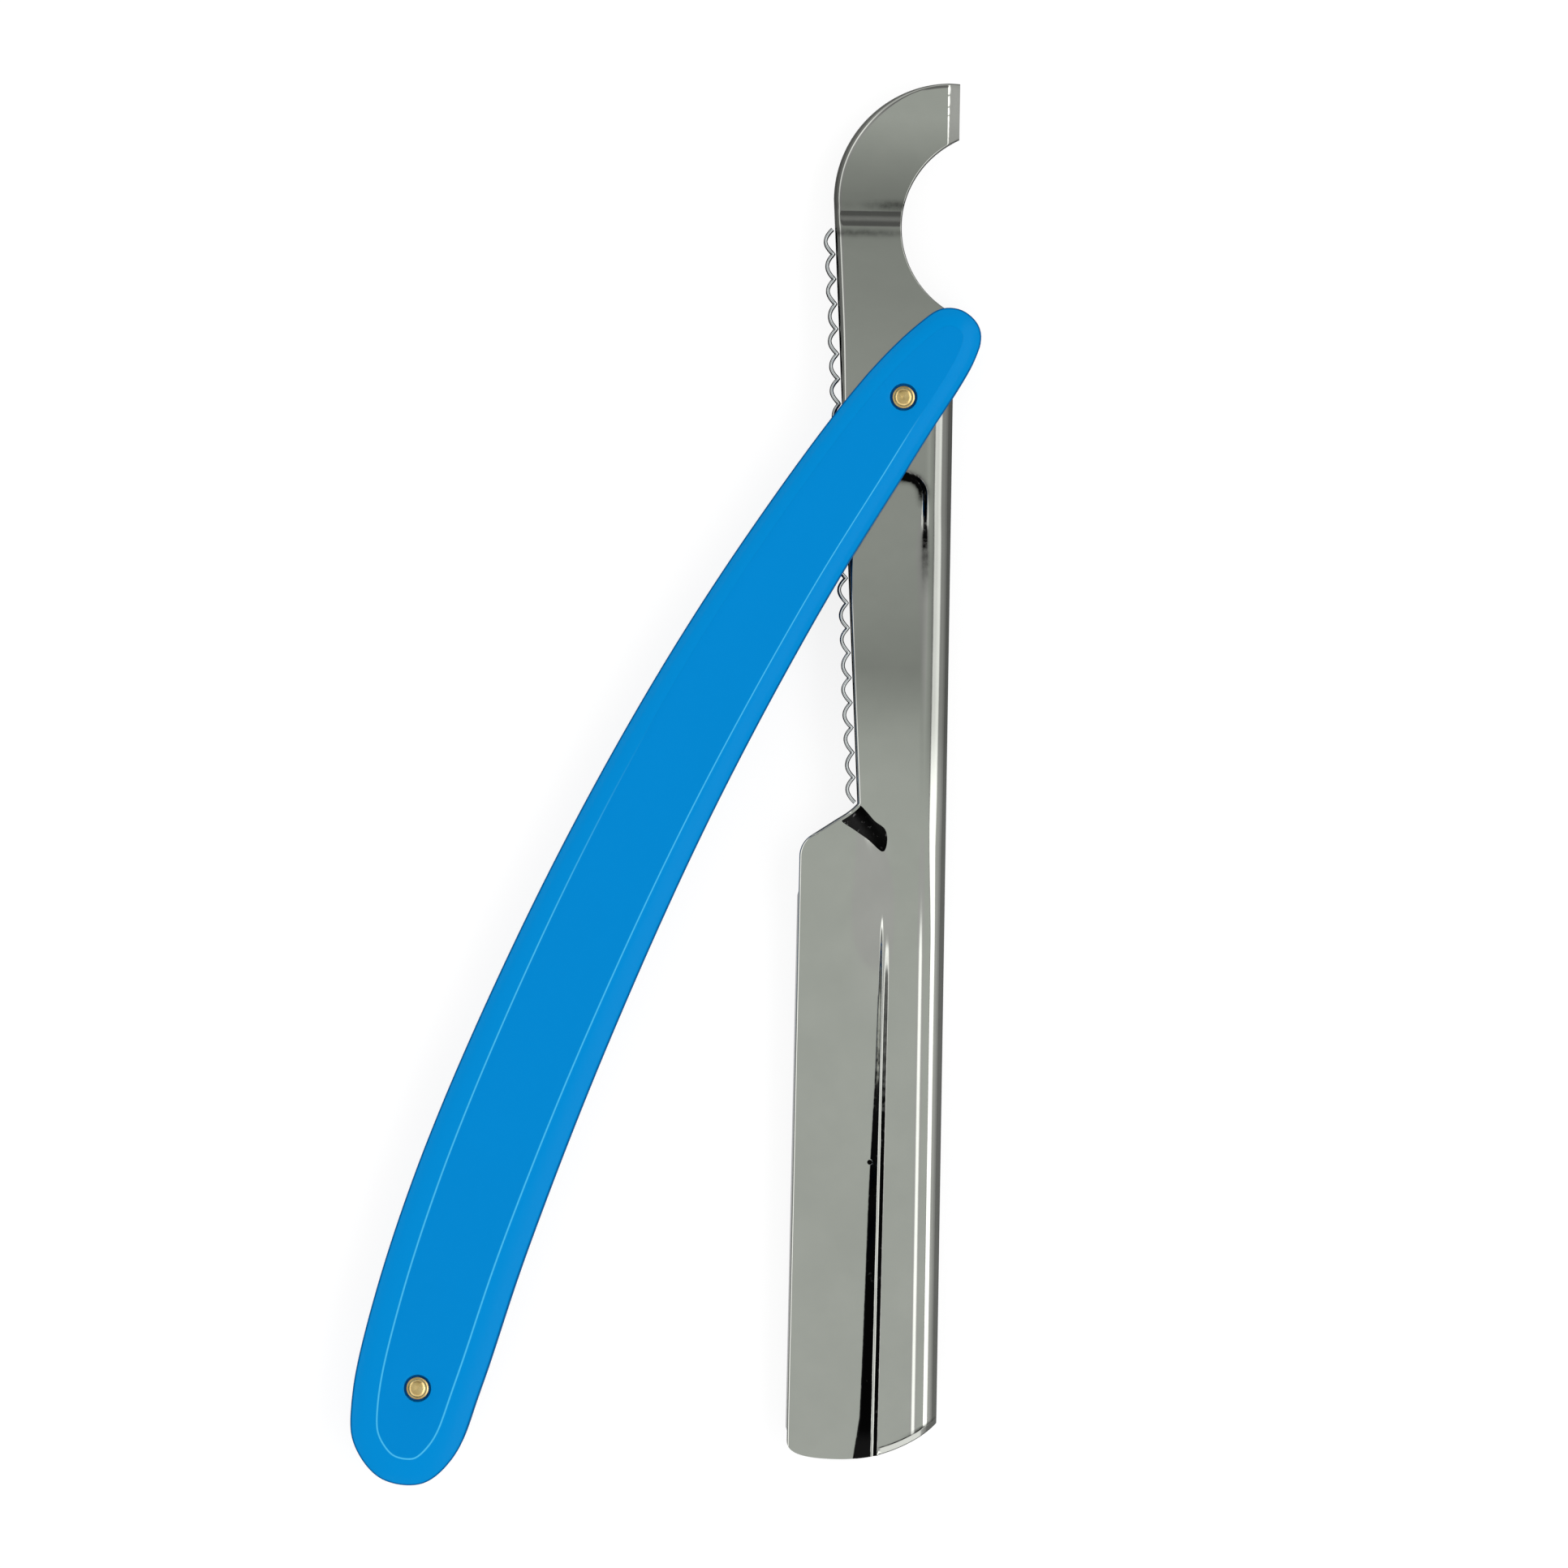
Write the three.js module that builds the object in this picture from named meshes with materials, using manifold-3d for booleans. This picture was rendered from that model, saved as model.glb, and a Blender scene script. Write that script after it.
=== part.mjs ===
// Folding barber's razor for replaceable blades.
// A holder of folded sheet steel, with a hooked tang, turns on a brass pin between the two scales of
// a plastic handle, and a long single-edged blade is held between the holder's two leaves.
//
// Millimetres. The origin is on the fold's axis, in the plane of the rear scale's outer face, on which
// the razor lies. +Y runs along the holder towards the hooked tang, +X towards the holder's rolled
// spine, and +Z out of the front scale.

import * as THREE from 'three';
import { mergeVertices } from 'three/addons/utils/BufferGeometryUtils.js';
import Module from 'manifold-3d';

const wasm = await Module();
wasm.setup();

// ---------------------------------------------------------------- driving dimensions

const OPEN_ANGLE = THREE.MathUtils.degToRad(25.2); // from the handle's pin line to the holder

// handle
const SCALE_THICKNESS = 2.3;
const BEVEL_WIDTH = 2.0; // of the slope round a scale's outer face, seen in plan
const BEVEL_HEIGHT = 0.9; // of the same slope, across the scale's thickness
const SPACER_START = 3.2; // from the tail pin's axis towards the pivot
const PIN_RADIUS = 0.8;
const PIN_HEAD_OVERHANG = 0.2; // where the pin's end is peened over its collar
const PIN_HEAD_THICKNESS = 0.27;
const COLLAR_WIDTH = 0.4; // from its hole to its rim
const COLLAR_THICKNESS = 0.6;
const BUSH_WALL = 1.0;
const WASHER_RADIUS = 3.2;
const WASHER_THICKNESS = 0.4;

// holder
const SHEET = 0.55; // thickness of the steel
const TANG_THICKNESS = 3.7; // over both faces of the shank, at the pivot
const HOOK_THICKNESS = 2.6; // over both faces of the hook, beyond the joggle
const PANEL_THICKNESS = 2.6; // over both faces of the shank's pressed-in panel
const BAND_THICKNESS = 4.2; // over both faces of the band between the leaves and the holder's spine
const SPINE_SHOULDER = 0.2; // how far the spine stands over each scale's inner face
const SPINE_X = 5.5; // the spine's outer edge
const SPINE_RISE_X = 2.7; // where a face rises to the spine
const SPINE_RISE_WIDTH = 0.3;
const HOOK_STEP_Y = 19.5; // the joggle between shank and hook
const PANEL_TOP_Y = -8.5;
const SHOULDER_Y = -45; // where the shank ends and the leaves begin to widen
const HOOK_CENTRE = [4.9, 22.0];
const HOOK_RADIUS = 12.95;
const HOOK_TIP_X = 5.75;
const REST_CENTRE = [10.2, 19.0]; // of the finger rest, the hook's hollow side
const REST_RADIUS = 10.7;
const WALL_END_X = -4.26; // the shank's side wall at the end of the shank
const LEAF_EDGE_TOP_X = -10.69; // the leaves' straight edge, at its end beside the shoulder
const LEAF_EDGE_END_X = -11.05; // and at its end beside the free end
const LEAF_CORNER_DROP = 5.8; // from the shoulder to that straight edge
const LEAF_CORNER_RISE = 2.0; // from the free end to that straight edge
const SPINE_END_RISE = 4.2; // how much shorter the spine is than the leaves
const NIB_INSET = 0.45; // from the leaves' step to the nib that the front leaf pushes into the blade's notch
const NIB_WIDTH = 0.4; // and of the piercing beside it
const NIB_LENGTH = 1.3;
const NIB_SINK = 0.2; // how far the nib's back lies below the leaf's face

// blade
const BLADE_LENGTH = 62;
const BLADE_WIDTH = 11;
const BLADE_THICKNESS = 0.23;
const BLADE_EXPOSURE = 0.15; // past the leaves' edge
const BLADE_TOP_INSET = 8.7; // from the shoulder to the blade
const BLADE_END_INSET = 2.0; // from the free end to the blade
const BLADE_BACK_INSET = 1.37; // how far the blade's back stands past the plates that grip it
const BLADE_GRIND_WIDTH = 0.8;
const BLADE_NOTCH_WIDTH = 2.4;
const BLADE_NOTCH_DEPTH = 2.6;

// finger grip
const TOOTH_PITCH = 2.76;
const TOOTH_DEPTH = 0.85;
const STRIP_THICKNESS = 0.4;
const STRIP_HEIGHT = 2.4;
const STRIP_TOP_Y = 18.6;
const TOOTH_STEPS = 8; // points along one tooth

// clearances
const PIN_CLEARANCE = 0.05; // round a pin, all the way through
const WASHER_CLEARANCE = 0.05; // between a washer and the shank
const BLADE_CLEARANCE = 0.05; // between the blade and each leaf
const STRIP_CLEARANCE = 0.04; // between the grip strip's valleys and the side wall
const COUNTERBORE_CLEARANCE = 0.25; // round a collar
const FOLD_CLEARANCE = 1.1; // between the folded holder's free end and the tail spacer

// ---------------------------------------------------------------- derived dimensions

const SCALE_GAP = TANG_THICKNESS + 2 * (WASHER_THICKNESS + WASHER_CLEARANCE);
const HANDLE_THICKNESS = SCALE_GAP + 2 * SCALE_THICKNESS;
const MID = HANDLE_THICKNESS / 2; // height of the plane that halves the razor
const HOLE_RADIUS = PIN_RADIUS + PIN_CLEARANCE;
const PIN_HEAD_RADIUS = PIN_RADIUS + PIN_HEAD_OVERHANG;
const COLLAR_RADIUS = HOLE_RADIUS + COLLAR_WIDTH;
const COUNTERBORE_RADIUS = COLLAR_RADIUS + COUNTERBORE_CLEARANCE;
const SPINE_RADIUS = TANG_THICKNESS / 2; // a full round at the shank
const SHANK_SPINE_HALF = SPINE_RADIUS;
const HOLDER_SPINE_HALF = SCALE_GAP / 2 + SPINE_SHOULDER;
const SHANK_END_Y = SHOULDER_Y - 2; // the shank runs on inside the shoulder
const SPINE_STEP_Y = SHOULDER_Y - 5; // where the spine thickens
const FREE_END_Y = SHOULDER_Y - BLADE_TOP_INSET - BLADE_LENGTH - BLADE_END_INSET;
const PIN_SPACING = FOLD_CLEARANCE + SPACER_START - FREE_END_Y; // the handle takes the folded holder
const BLADE_CENTRE_Y = SHOULDER_Y - BLADE_TOP_INSET - BLADE_LENGTH / 2;
const LEAF_CORNER_TOP_Y = SHOULDER_Y - LEAF_CORNER_DROP;
const LEAF_CORNER_END_Y = FREE_END_Y + LEAF_CORNER_RISE;
const EDGE_LEAN = (LEAF_EDGE_TOP_X - LEAF_EDGE_END_X) / (LEAF_CORNER_TOP_Y - LEAF_CORNER_END_Y);
const BLADE_EDGE_X = LEAF_EDGE_END_X + EDGE_LEAN * (BLADE_CENTRE_Y - LEAF_CORNER_END_Y) - BLADE_EXPOSURE;
const BLADE_BACK_X = BLADE_EDGE_X + BLADE_WIDTH;
const LEAF_STEP_X = BLADE_BACK_X - BLADE_BACK_INSET; // where the leaves rise to the band by the spine
const TEETH = Math.floor((STRIP_TOP_Y - SHOULDER_Y) / TOOTH_PITCH);
const SLOT_HALF = BLADE_THICKNESS / 2 + BLADE_CLEARANCE;
const LEAF_HALF = SLOT_HALF + SHEET;
const HOOK_LEFT_X = HOOK_CENTRE[0] - HOOK_RADIUS;
const ROUND = 32; // facets round a pin or hole
const PAST = 5; // how far a cutting solid runs past what it cuts

// ---------------------------------------------------------------- materials

function material(name, color, roughness, metalness) {
  return new THREE.MeshStandardMaterial({ name, color, roughness, metalness });
}

const bluePlastic = material('blue_plastic', 0x0085cc, 0.22, 0);
const darkPlastic = material('spacer_plastic', 0x0070b0, 0.35, 0);
const brass = material('brass', 0xc8a55a, 0.3, 1);
const washerPlastic = material('washer_plastic', 0xe6e6e0, 0.5, 0);
const polishedSteel = material('polished_steel', 0x9a9e98, 0.2, 1);
const gripSteel = material('grip_steel', 0xb4b7b2, 0.25, 1);
const bladeSteel = material('blade_steel', 0xc2c6c8, 0.15, 1);

// ---------------------------------------------------------------- solids

function solidOf(geometry) {
  const merged = geometry.clone();
  merged.deleteAttribute('normal');
  merged.deleteAttribute('uv');
  const welded = mergeVertices(merged, 1e-5);
  return new wasm.Manifold(new wasm.Mesh({
    numProp: 3,
    vertProperties: Float32Array.from(welded.attributes.position.array),
    triVerts: Uint32Array.from(welded.index.array),
  }));
}

function meshOf(solid, name, look) {
  const mesh = solid.getMesh();
  const geometry = new THREE.BufferGeometry();
  geometry.setAttribute('position', new THREE.BufferAttribute(mesh.vertProperties, 3));
  geometry.setIndex(new THREE.BufferAttribute(mesh.triVerts, 1));
  geometry.computeVertexNormals();
  const piece = new THREE.Mesh(geometry, look);
  piece.name = name;
  return piece;
}

// An outline in the XY plane, given thickness from one height to another.
function slab(outline, low, high, curveSegments = 24) {
  const geometry = new THREE.ExtrudeGeometry(outline, {
    depth: high - low,
    bevelEnabled: false,
    curveSegments,
  });
  geometry.translate(0, 0, low);
  return solidOf(geometry);
}

// An outline in the XY plane, given thickness evenly on both sides of the razor's middle plane.
function midSlab(outline, half, curveSegments) {
  return slab(outline, MID - half, MID + half, curveSegments);
}

// A section across the holder (its X, and its height from the middle plane) run along the holder.
function alongHolder(section, topY, bottomY) {
  const geometry = new THREE.ExtrudeGeometry(section, {
    depth: topY - bottomY,
    bevelEnabled: false,
    curveSegments: 16,
  });
  geometry.rotateX(Math.PI / 2);
  geometry.translate(0, topY, MID);
  return solidOf(geometry);
}

function upright(radius, low, high, x = 0, y = 0) {
  const geometry = new THREE.CylinderGeometry(radius, radius, high - low, ROUND);
  geometry.rotateX(Math.PI / 2);
  geometry.translate(x, y, (low + high) / 2);
  return solidOf(geometry);
}

function rectangle(left, right, bottom, top) {
  return new THREE.Shape([
    new THREE.Vector2(left, bottom),
    new THREE.Vector2(right, bottom),
    new THREE.Vector2(right, top),
    new THREE.Vector2(left, top),
  ]);
}

// Everything between two stations along the holder.
function band(bottomY, topY) {
  const reach = 2 * PIN_SPACING;
  return slab(rectangle(-reach, reach, bottomY, topY), -PAST, HANDLE_THICKNESS + PAST);
}

// A smooth closed outline through a few points.
function smoothOutline(points, stepsPerPoint) {
  const curve = new THREE.CatmullRomCurve3(
    points.map(([x, y]) => new THREE.Vector3(x, y, 0)), true, 'centripetal');
  const samples = curve.getPoints(points.length * stepsPerPoint);
  samples.pop();
  return new THREE.Shape(samples.map((sample) => new THREE.Vector2(sample.x, sample.y)));
}

// ---------------------------------------------------------------- handle
// Made with its pin line along -Y, and turned by the opening angle as a group.

// The scale's outline: both edges at stations along the pin line, as shares of the pin spacing, and
// the two round ends from the pins that they go round. X is the belly side, which the holder folds into.
function scaleOutline() {
  const head = [[-2.05, 8.2], [-0.5, 10.7], [1.7, 11.5], [4.05, 10.7], [5.15, 8.6]];
  const belly = [[4.1, 0.04], [2.2, 0.2], [1.26, 0.42], [2.2, 0.65], [4.3, 0.85], [6.4, 0.98]];
  const tail = [[6.95, 5.0], [5.1, 9.3], [0.7, 10.8], [-3.7, 8.6], [-6.05, 4.2]];
  const back = [[-8.6, 0.95], [-11.05, 0.8], [-12.15, 0.57], [-11.3, 0.36], [-8.95, 0.18], [-4.9, 0]];
  const along = ([x, share]) => [x, -share * PIN_SPACING];
  return smoothOutline([
    ...head,
    ...belly.map(along),
    ...tail.map(([x, past]) => [x, -PIN_SPACING - past]),
    ...back.map(along),
  ].reverse(), 5);
}

// A scale with its outer face up, and its inner face at height 0.
function scaleBlank() {
  const outline = scaleOutline();
  const flatRim = SCALE_THICKNESS - BEVEL_HEIGHT;
  const geometry = new THREE.ExtrudeGeometry(outline, {
    depth: 2 * flatRim,
    bevelEnabled: true,
    bevelThickness: BEVEL_HEIGHT,
    bevelSize: BEVEL_WIDTH,
    bevelOffset: -BEVEL_WIDTH,
    bevelSegments: 1,
  });
  geometry.translate(0, 0, -flatRim);
  const upperHalf = slab(rectangle(-PIN_SPACING, PIN_SPACING, -2 * PIN_SPACING, PIN_SPACING),
    0, SCALE_THICKNESS + PAST);
  const counterbore = SCALE_THICKNESS - COLLAR_THICKNESS - PIN_HEAD_THICKNESS - PIN_CLEARANCE;
  let scale = solidOf(geometry).intersect(upperHalf);
  for (const y of [0, -PIN_SPACING]) {
    scale = scale
      .subtract(upright(HOLE_RADIUS, -PAST, SCALE_THICKNESS + PAST, 0, y))
      .subtract(upright(COUNTERBORE_RADIUS, counterbore, SCALE_THICKNESS + PAST, 0, y));
  }
  return scale;
}

function frontScale() {
  const scale = scaleBlank().translate(0, 0, HANDLE_THICKNESS - SCALE_THICKNESS);
  return meshOf(scale, 'front_scale', bluePlastic);
}

function rearScale() {
  const scale = scaleBlank().mirror([0, 0, 1]).translate(0, 0, SCALE_THICKNESS);
  return meshOf(scale, 'rear_scale', bluePlastic);
}

function tailSpacer() {
  const low = SCALE_THICKNESS;
  const high = SCALE_THICKNESS + SCALE_GAP;
  const top = -PIN_SPACING + SPACER_START;
  const tailEnd = rectangle(-PIN_SPACING, PIN_SPACING, -2 * PIN_SPACING, top);
  const spacer = slab(scaleOutline(), low, high)
    .intersect(slab(tailEnd, low - PAST, high + PAST))
    .subtract(upright(HOLE_RADIUS, low - PAST, high + PAST, 0, -PIN_SPACING));
  return meshOf(spacer, 'tail_spacer', darkPlastic);
}

// A pin through both scales, peened over a collar at each end and flush with the outer faces.
function pin(name, y) {
  const profile = [
    [0, 0],
    [PIN_HEAD_RADIUS, 0],
    [PIN_HEAD_RADIUS, PIN_HEAD_THICKNESS],
    [PIN_RADIUS, PIN_HEAD_THICKNESS],
    [PIN_RADIUS, HANDLE_THICKNESS - PIN_HEAD_THICKNESS],
    [PIN_HEAD_RADIUS, HANDLE_THICKNESS - PIN_HEAD_THICKNESS],
    [PIN_HEAD_RADIUS, HANDLE_THICKNESS],
    [0, HANDLE_THICKNESS],
  ];
  const geometry = new THREE.LatheGeometry(profile.map(([r, z]) => new THREE.Vector2(r, z)), ROUND);
  geometry.rotateX(Math.PI / 2);
  geometry.translate(0, y, 0);
  return meshOf(solidOf(geometry), name, brass);
}

function ring(name, outerRadius, low, high, y, look) {
  const solid = upright(outerRadius, low, high, 0, y)
    .subtract(upright(HOLE_RADIUS, low - PAST, high + PAST, 0, y));
  return meshOf(solid, name, look);
}

function collars(pinName, y) {
  const low = PIN_HEAD_THICKNESS + PIN_CLEARANCE;
  const high = HANDLE_THICKNESS - low;
  return [
    ring(`${pinName}_collar_rear`, COLLAR_RADIUS, low, low + COLLAR_THICKNESS, y, brass),
    ring(`${pinName}_collar_front`, COLLAR_RADIUS, high - COLLAR_THICKNESS, high, y, brass),
  ];
}

function pivotWashers() {
  const low = SCALE_THICKNESS;
  const high = HANDLE_THICKNESS - SCALE_THICKNESS;
  return [
    ring('pivot_washer_rear', WASHER_RADIUS, low, low + WASHER_THICKNESS, 0, washerPlastic),
    ring('pivot_washer_front', WASHER_RADIUS, high - WASHER_THICKNESS, high, 0, washerPlastic),
  ];
}

// ---------------------------------------------------------------- holder

// The side wall's outer face: a straight line from the hook down to the end of the shank.
function wallX(y) {
  const share = (HOOK_CENTRE[1] - y) / (HOOK_CENTRE[1] - SHANK_END_Y);
  return HOOK_LEFT_X + share * (WALL_END_X - HOOK_LEFT_X);
}

// Height above a circle's centre of its edge at one X.
function circleRise(centreX, radius, x) {
  return Math.sqrt(radius ** 2 - (x - centreX) ** 2);
}

// Tang and shank in plan. An inset gives the hollow inside, which runs on past the open tip.
function tangOutline(inset, tipX) {
  const spine = SPINE_X - inset;
  const restRadius = REST_RADIUS + inset;
  const hookRadius = HOOK_RADIUS - inset;
  const restLow = -circleRise(REST_CENTRE[0], restRadius, spine);
  const restHigh = circleRise(REST_CENTRE[0], restRadius, tipX);
  const tipHigh = circleRise(HOOK_CENTRE[0], hookRadius, tipX);
  const outline = new THREE.Shape();
  outline.moveTo(spine, SHANK_END_Y);
  outline.lineTo(spine, REST_CENTRE[1] + restLow);
  outline.absarc(...REST_CENTRE, restRadius,
    Math.atan2(restLow, spine - REST_CENTRE[0]),
    Math.atan2(restHigh, tipX - REST_CENTRE[0]), true);
  outline.lineTo(tipX, HOOK_CENTRE[1] + tipHigh);
  outline.absarc(...HOOK_CENTRE, hookRadius, Math.atan2(tipHigh, tipX - HOOK_CENTRE[0]), Math.PI, false);
  outline.lineTo(WALL_END_X + inset, SHANK_END_Y);
  return outline;
}

// The leaves in plan, from the shank's end to the free end.
function leafOutline() {
  const endY = FREE_END_Y;
  const spineEndY = endY + SPINE_END_RISE;
  const outline = new THREE.Shape();
  outline.moveTo(SPINE_X, SHOULDER_Y);
  outline.lineTo(wallX(SHOULDER_Y), SHOULDER_Y);
  outline.quadraticCurveTo(-5.1, SHOULDER_Y - 0.85, -6.5, SHOULDER_Y - 1.65);
  outline.lineTo(-9.3, SHOULDER_Y - 3.5);
  outline.quadraticCurveTo(-10.6, SHOULDER_Y - 4.3, LEAF_EDGE_TOP_X, LEAF_CORNER_TOP_Y);
  outline.lineTo(LEAF_EDGE_END_X, LEAF_CORNER_END_Y);
  outline.bezierCurveTo(LEAF_EDGE_END_X, endY + 0.6, -9.4, endY, -5.2, endY);
  outline.bezierCurveTo(-1.5, endY, 2.6, endY + 1.4, SPINE_X, spineEndY);
  return outline;
}

// A section's nose at the spine, with two round corners: up at startX, round them, and back at startX.
function addSpineNose(section, startX, half, inset) {
  const radius = SPINE_RADIUS - inset;
  const centreX = SPINE_X - SPINE_RADIUS;
  const centreHeight = half - SPINE_RADIUS;
  const angle = Math.acos(Math.max(0, startX - centreX) / radius);
  const startHeight = centreHeight + radius * Math.sin(angle);
  section.lineTo(startX, startHeight);
  section.absarc(centreX, centreHeight, radius, angle, 0, true);
  section.absarc(centreX, -centreHeight, radius, 0, -angle, true);
  section.lineTo(startX, -startHeight);
}

// Section of the shank: two flat faces that rise to the spine. An inset gives the hollow.
function shankSection(faceHalf, inset) {
  const farLeft = HOOK_LEFT_X - PAST;
  const riseX = SPINE_RISE_X + inset;
  const section = new THREE.Shape();
  section.moveTo(farLeft, faceHalf - inset);
  section.lineTo(riseX, faceHalf - inset);
  addSpineNose(section, riseX + SPINE_RISE_WIDTH, SHANK_SPINE_HALF, inset);
  section.lineTo(riseX, inset - faceHalf);
  section.lineTo(farLeft, inset - faceHalf);
  return section;
}

// Section of the two leaves: plates that hold the blade, the band beside the spine, and the spine.
function leafSection(plateHalf, bandThickness, spineHalf, inset) {
  const bandHalf = bandThickness / 2 - inset;
  const farLeft = LEAF_EDGE_END_X - PAST;
  const stepX = LEAF_STEP_X + inset;
  const riseX = SPINE_RISE_X + inset;
  const section = new THREE.Shape();
  section.moveTo(farLeft, plateHalf);
  section.lineTo(stepX, plateHalf);
  section.lineTo(stepX, bandHalf);
  section.lineTo(riseX, bandHalf);
  addSpineNose(section, riseX + SPINE_RISE_WIDTH, spineHalf, inset);
  section.lineTo(riseX, -bandHalf);
  section.lineTo(stepX, -bandHalf);
  section.lineTo(stepX, -plateHalf);
  section.lineTo(farLeft, -plateHalf);
  return section;
}

// Outside of the folded sheet, with no hollow yet.
function shellOutside() {
  const plan = midSlab(tangOutline(0, HOOK_TIP_X), TANG_THICKNESS);
  const hook = midSlab(tangOutline(0, HOOK_TIP_X), HOOK_THICKNESS / 2)
    .intersect(band(HOOK_STEP_Y, PIN_SPACING));
  const topShank = alongHolder(shankSection(TANG_THICKNESS / 2, 0), HOOK_STEP_Y, PANEL_TOP_Y);
  const lowShank = alongHolder(shankSection(PANEL_THICKNESS / 2, 0), PANEL_TOP_Y, SHANK_END_Y);
  const shank = topShank.add(lowShank).intersect(plan);
  const shoulder = alongHolder(leafSection(LEAF_HALF, PANEL_THICKNESS, SHANK_SPINE_HALF, 0),
    SHOULDER_Y, SPINE_STEP_Y);
  const holder = alongHolder(leafSection(LEAF_HALF, BAND_THICKNESS, HOLDER_SPINE_HALF, 0),
    SPINE_STEP_Y, FREE_END_Y);
  const leaves = shoulder.add(holder).intersect(midSlab(leafOutline(), TANG_THICKNESS));
  return hook.add(shank).add(leaves);
}

// The hollow between the two layers of sheet, open at the hook's tip, along the leaves' edge and at
// the free end. Its steps are a sheet's thickness away from the outside's steps.
function shellHollow() {
  const openTipX = HOOK_TIP_X + 1;
  const plan = tangOutline(SHEET, openTipX);
  const hook = midSlab(plan, HOOK_THICKNESS / 2 - SHEET)
    .intersect(band(HOOK_STEP_Y - PAST, PIN_SPACING));
  const topShank = alongHolder(shankSection(TANG_THICKNESS / 2, SHEET),
    HOOK_STEP_Y - SHEET, PANEL_TOP_Y + SHEET);
  const lowShank = alongHolder(shankSection(PANEL_THICKNESS / 2, SHEET),
    PANEL_TOP_Y + PAST, SHANK_END_Y + SHEET);
  const shank = topShank.add(lowShank).intersect(midSlab(plan, TANG_THICKNESS));
  const shoulder = alongHolder(leafSection(SLOT_HALF, PANEL_THICKNESS, SHANK_SPINE_HALF, SHEET),
    SHOULDER_Y, SPINE_STEP_Y - PAST);
  const holder = alongHolder(leafSection(SLOT_HALF, BAND_THICKNESS, HOLDER_SPINE_HALF, SHEET),
    SPINE_STEP_Y - SHEET, FREE_END_Y - PAST);
  return hook.add(shank).add(shoulder).add(holder);
}

// The pierced relief where the front leaf leaves the shank, which lets the leaf spring.
function reliefHole() {
  const outline = smoothOutline([
    [-4.2, -0.3], [-5.8, -2.0], [-3.9, -3.2], [-1.6, -5.2], [-1.0, -4.0], [-2.4, -1.8],
  ].map(([x, below]) => [x, SHOULDER_Y + below]), 5);
  return slab(outline, MID, MID + PAST);
}

// A small rectangle in the middle of the front leaf, over the notch in the blade's back.
function overBladeNotch(left, low, high) {
  const bottom = BLADE_CENTRE_Y - NIB_LENGTH / 2;
  return slab(rectangle(left, left + NIB_WIDTH, bottom, bottom + NIB_LENGTH), low, high);
}

function holderShell() {
  const nibX = LEAF_STEP_X - NIB_INSET;
  const nib = overBladeNotch(nibX, MID - BLADE_THICKNESS / 2, MID + LEAF_HALF - NIB_SINK);
  const piercing = overBladeNotch(nibX - NIB_WIDTH, MID, MID + PAST);
  const shell = shellOutside()
    .subtract(shellHollow())
    .subtract(reliefHole())
    .subtract(piercing)
    .subtract(upright(HOLE_RADIUS, -PAST, HANDLE_THICKNESS + PAST))
    .add(nib);
  return meshOf(shell, 'holder_shell', polishedSteel);
}

function pivotBush() {
  const half = TANG_THICKNESS / 2 - SHEET;
  return ring('pivot_bush', HOLE_RADIUS + BUSH_WALL, MID - half, MID + half, 0, brass);
}

// A ribbon of sheet bent into even round teeth, along the shank's side wall.
function fingerGripStrip() {
  const steps = TEETH * TOOTH_STEPS;
  const outer = [];
  const inner = [];
  for (let step = 0; step <= steps; step += 1) {
    const y = STRIP_TOP_Y - (step / TOOTH_STEPS) * TOOTH_PITCH;
    const wave = (TOOTH_DEPTH / 2) * (1 - Math.cos((2 * Math.PI * step) / TOOTH_STEPS));
    const x = wallX(y) - STRIP_CLEARANCE - wave;
    inner.push(new THREE.Vector2(x, y));
    outer.push(new THREE.Vector2(x - STRIP_THICKNESS, y));
  }
  const outline = new THREE.Shape([...outer, ...inner.reverse()]);
  return meshOf(midSlab(outline, STRIP_HEIGHT / 2), 'finger_grip_strip', gripSteel);
}

// ---------------------------------------------------------------- blade

// Made with the middle of its edge at the origin, and placed parallel to the leaves' straight edge.
function razorBlade() {
  const half = BLADE_THICKNESS / 2;
  const section = new THREE.Shape([
    new THREE.Vector2(0, 0),
    new THREE.Vector2(BLADE_GRIND_WIDTH, -half),
    new THREE.Vector2(BLADE_WIDTH, -half),
    new THREE.Vector2(BLADE_WIDTH, half),
    new THREE.Vector2(BLADE_GRIND_WIDTH, half),
  ]);
  const notchRadius = BLADE_NOTCH_WIDTH / 2;
  const notchEndX = BLADE_WIDTH - BLADE_NOTCH_DEPTH + notchRadius;
  const notch = new THREE.Shape();
  notch.moveTo(BLADE_WIDTH + PAST, notchRadius);
  notch.lineTo(notchEndX, notchRadius);
  notch.absarc(notchEndX, 0, notchRadius, Math.PI / 2, 1.5 * Math.PI, false);
  notch.lineTo(BLADE_WIDTH + PAST, -notchRadius);
  const solid = alongHolder(section, BLADE_LENGTH / 2, -BLADE_LENGTH / 2).subtract(midSlab(notch, PAST));
  const blade = meshOf(solid, 'razor_blade', bladeSteel);
  blade.position.set(BLADE_EDGE_X, BLADE_CENTRE_Y, 0);
  blade.rotation.z = -Math.atan(EDGE_LEAN);
  return blade;
}

// ---------------------------------------------------------------- assembly

const handle = new THREE.Group();
handle.add(
  frontScale(),
  rearScale(),
  tailSpacer(),
  pin('pivot_pin', 0),
  ...collars('pivot', 0),
  pin('tail_pin', -PIN_SPACING),
  ...collars('tail', -PIN_SPACING),
  ...pivotWashers(),
);
handle.rotation.z = -OPEN_ANGLE;

const razor = new THREE.Group();
razor.add(handle, holderShell(), pivotBush(), fingerGripStrip(), razorBlade());

export default razor;
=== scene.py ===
# Looks of the folding barber's razor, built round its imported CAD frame.
# Lengths are millimetres in the frame's own axes, and MM turns them into Blender's metres.

import math

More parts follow.
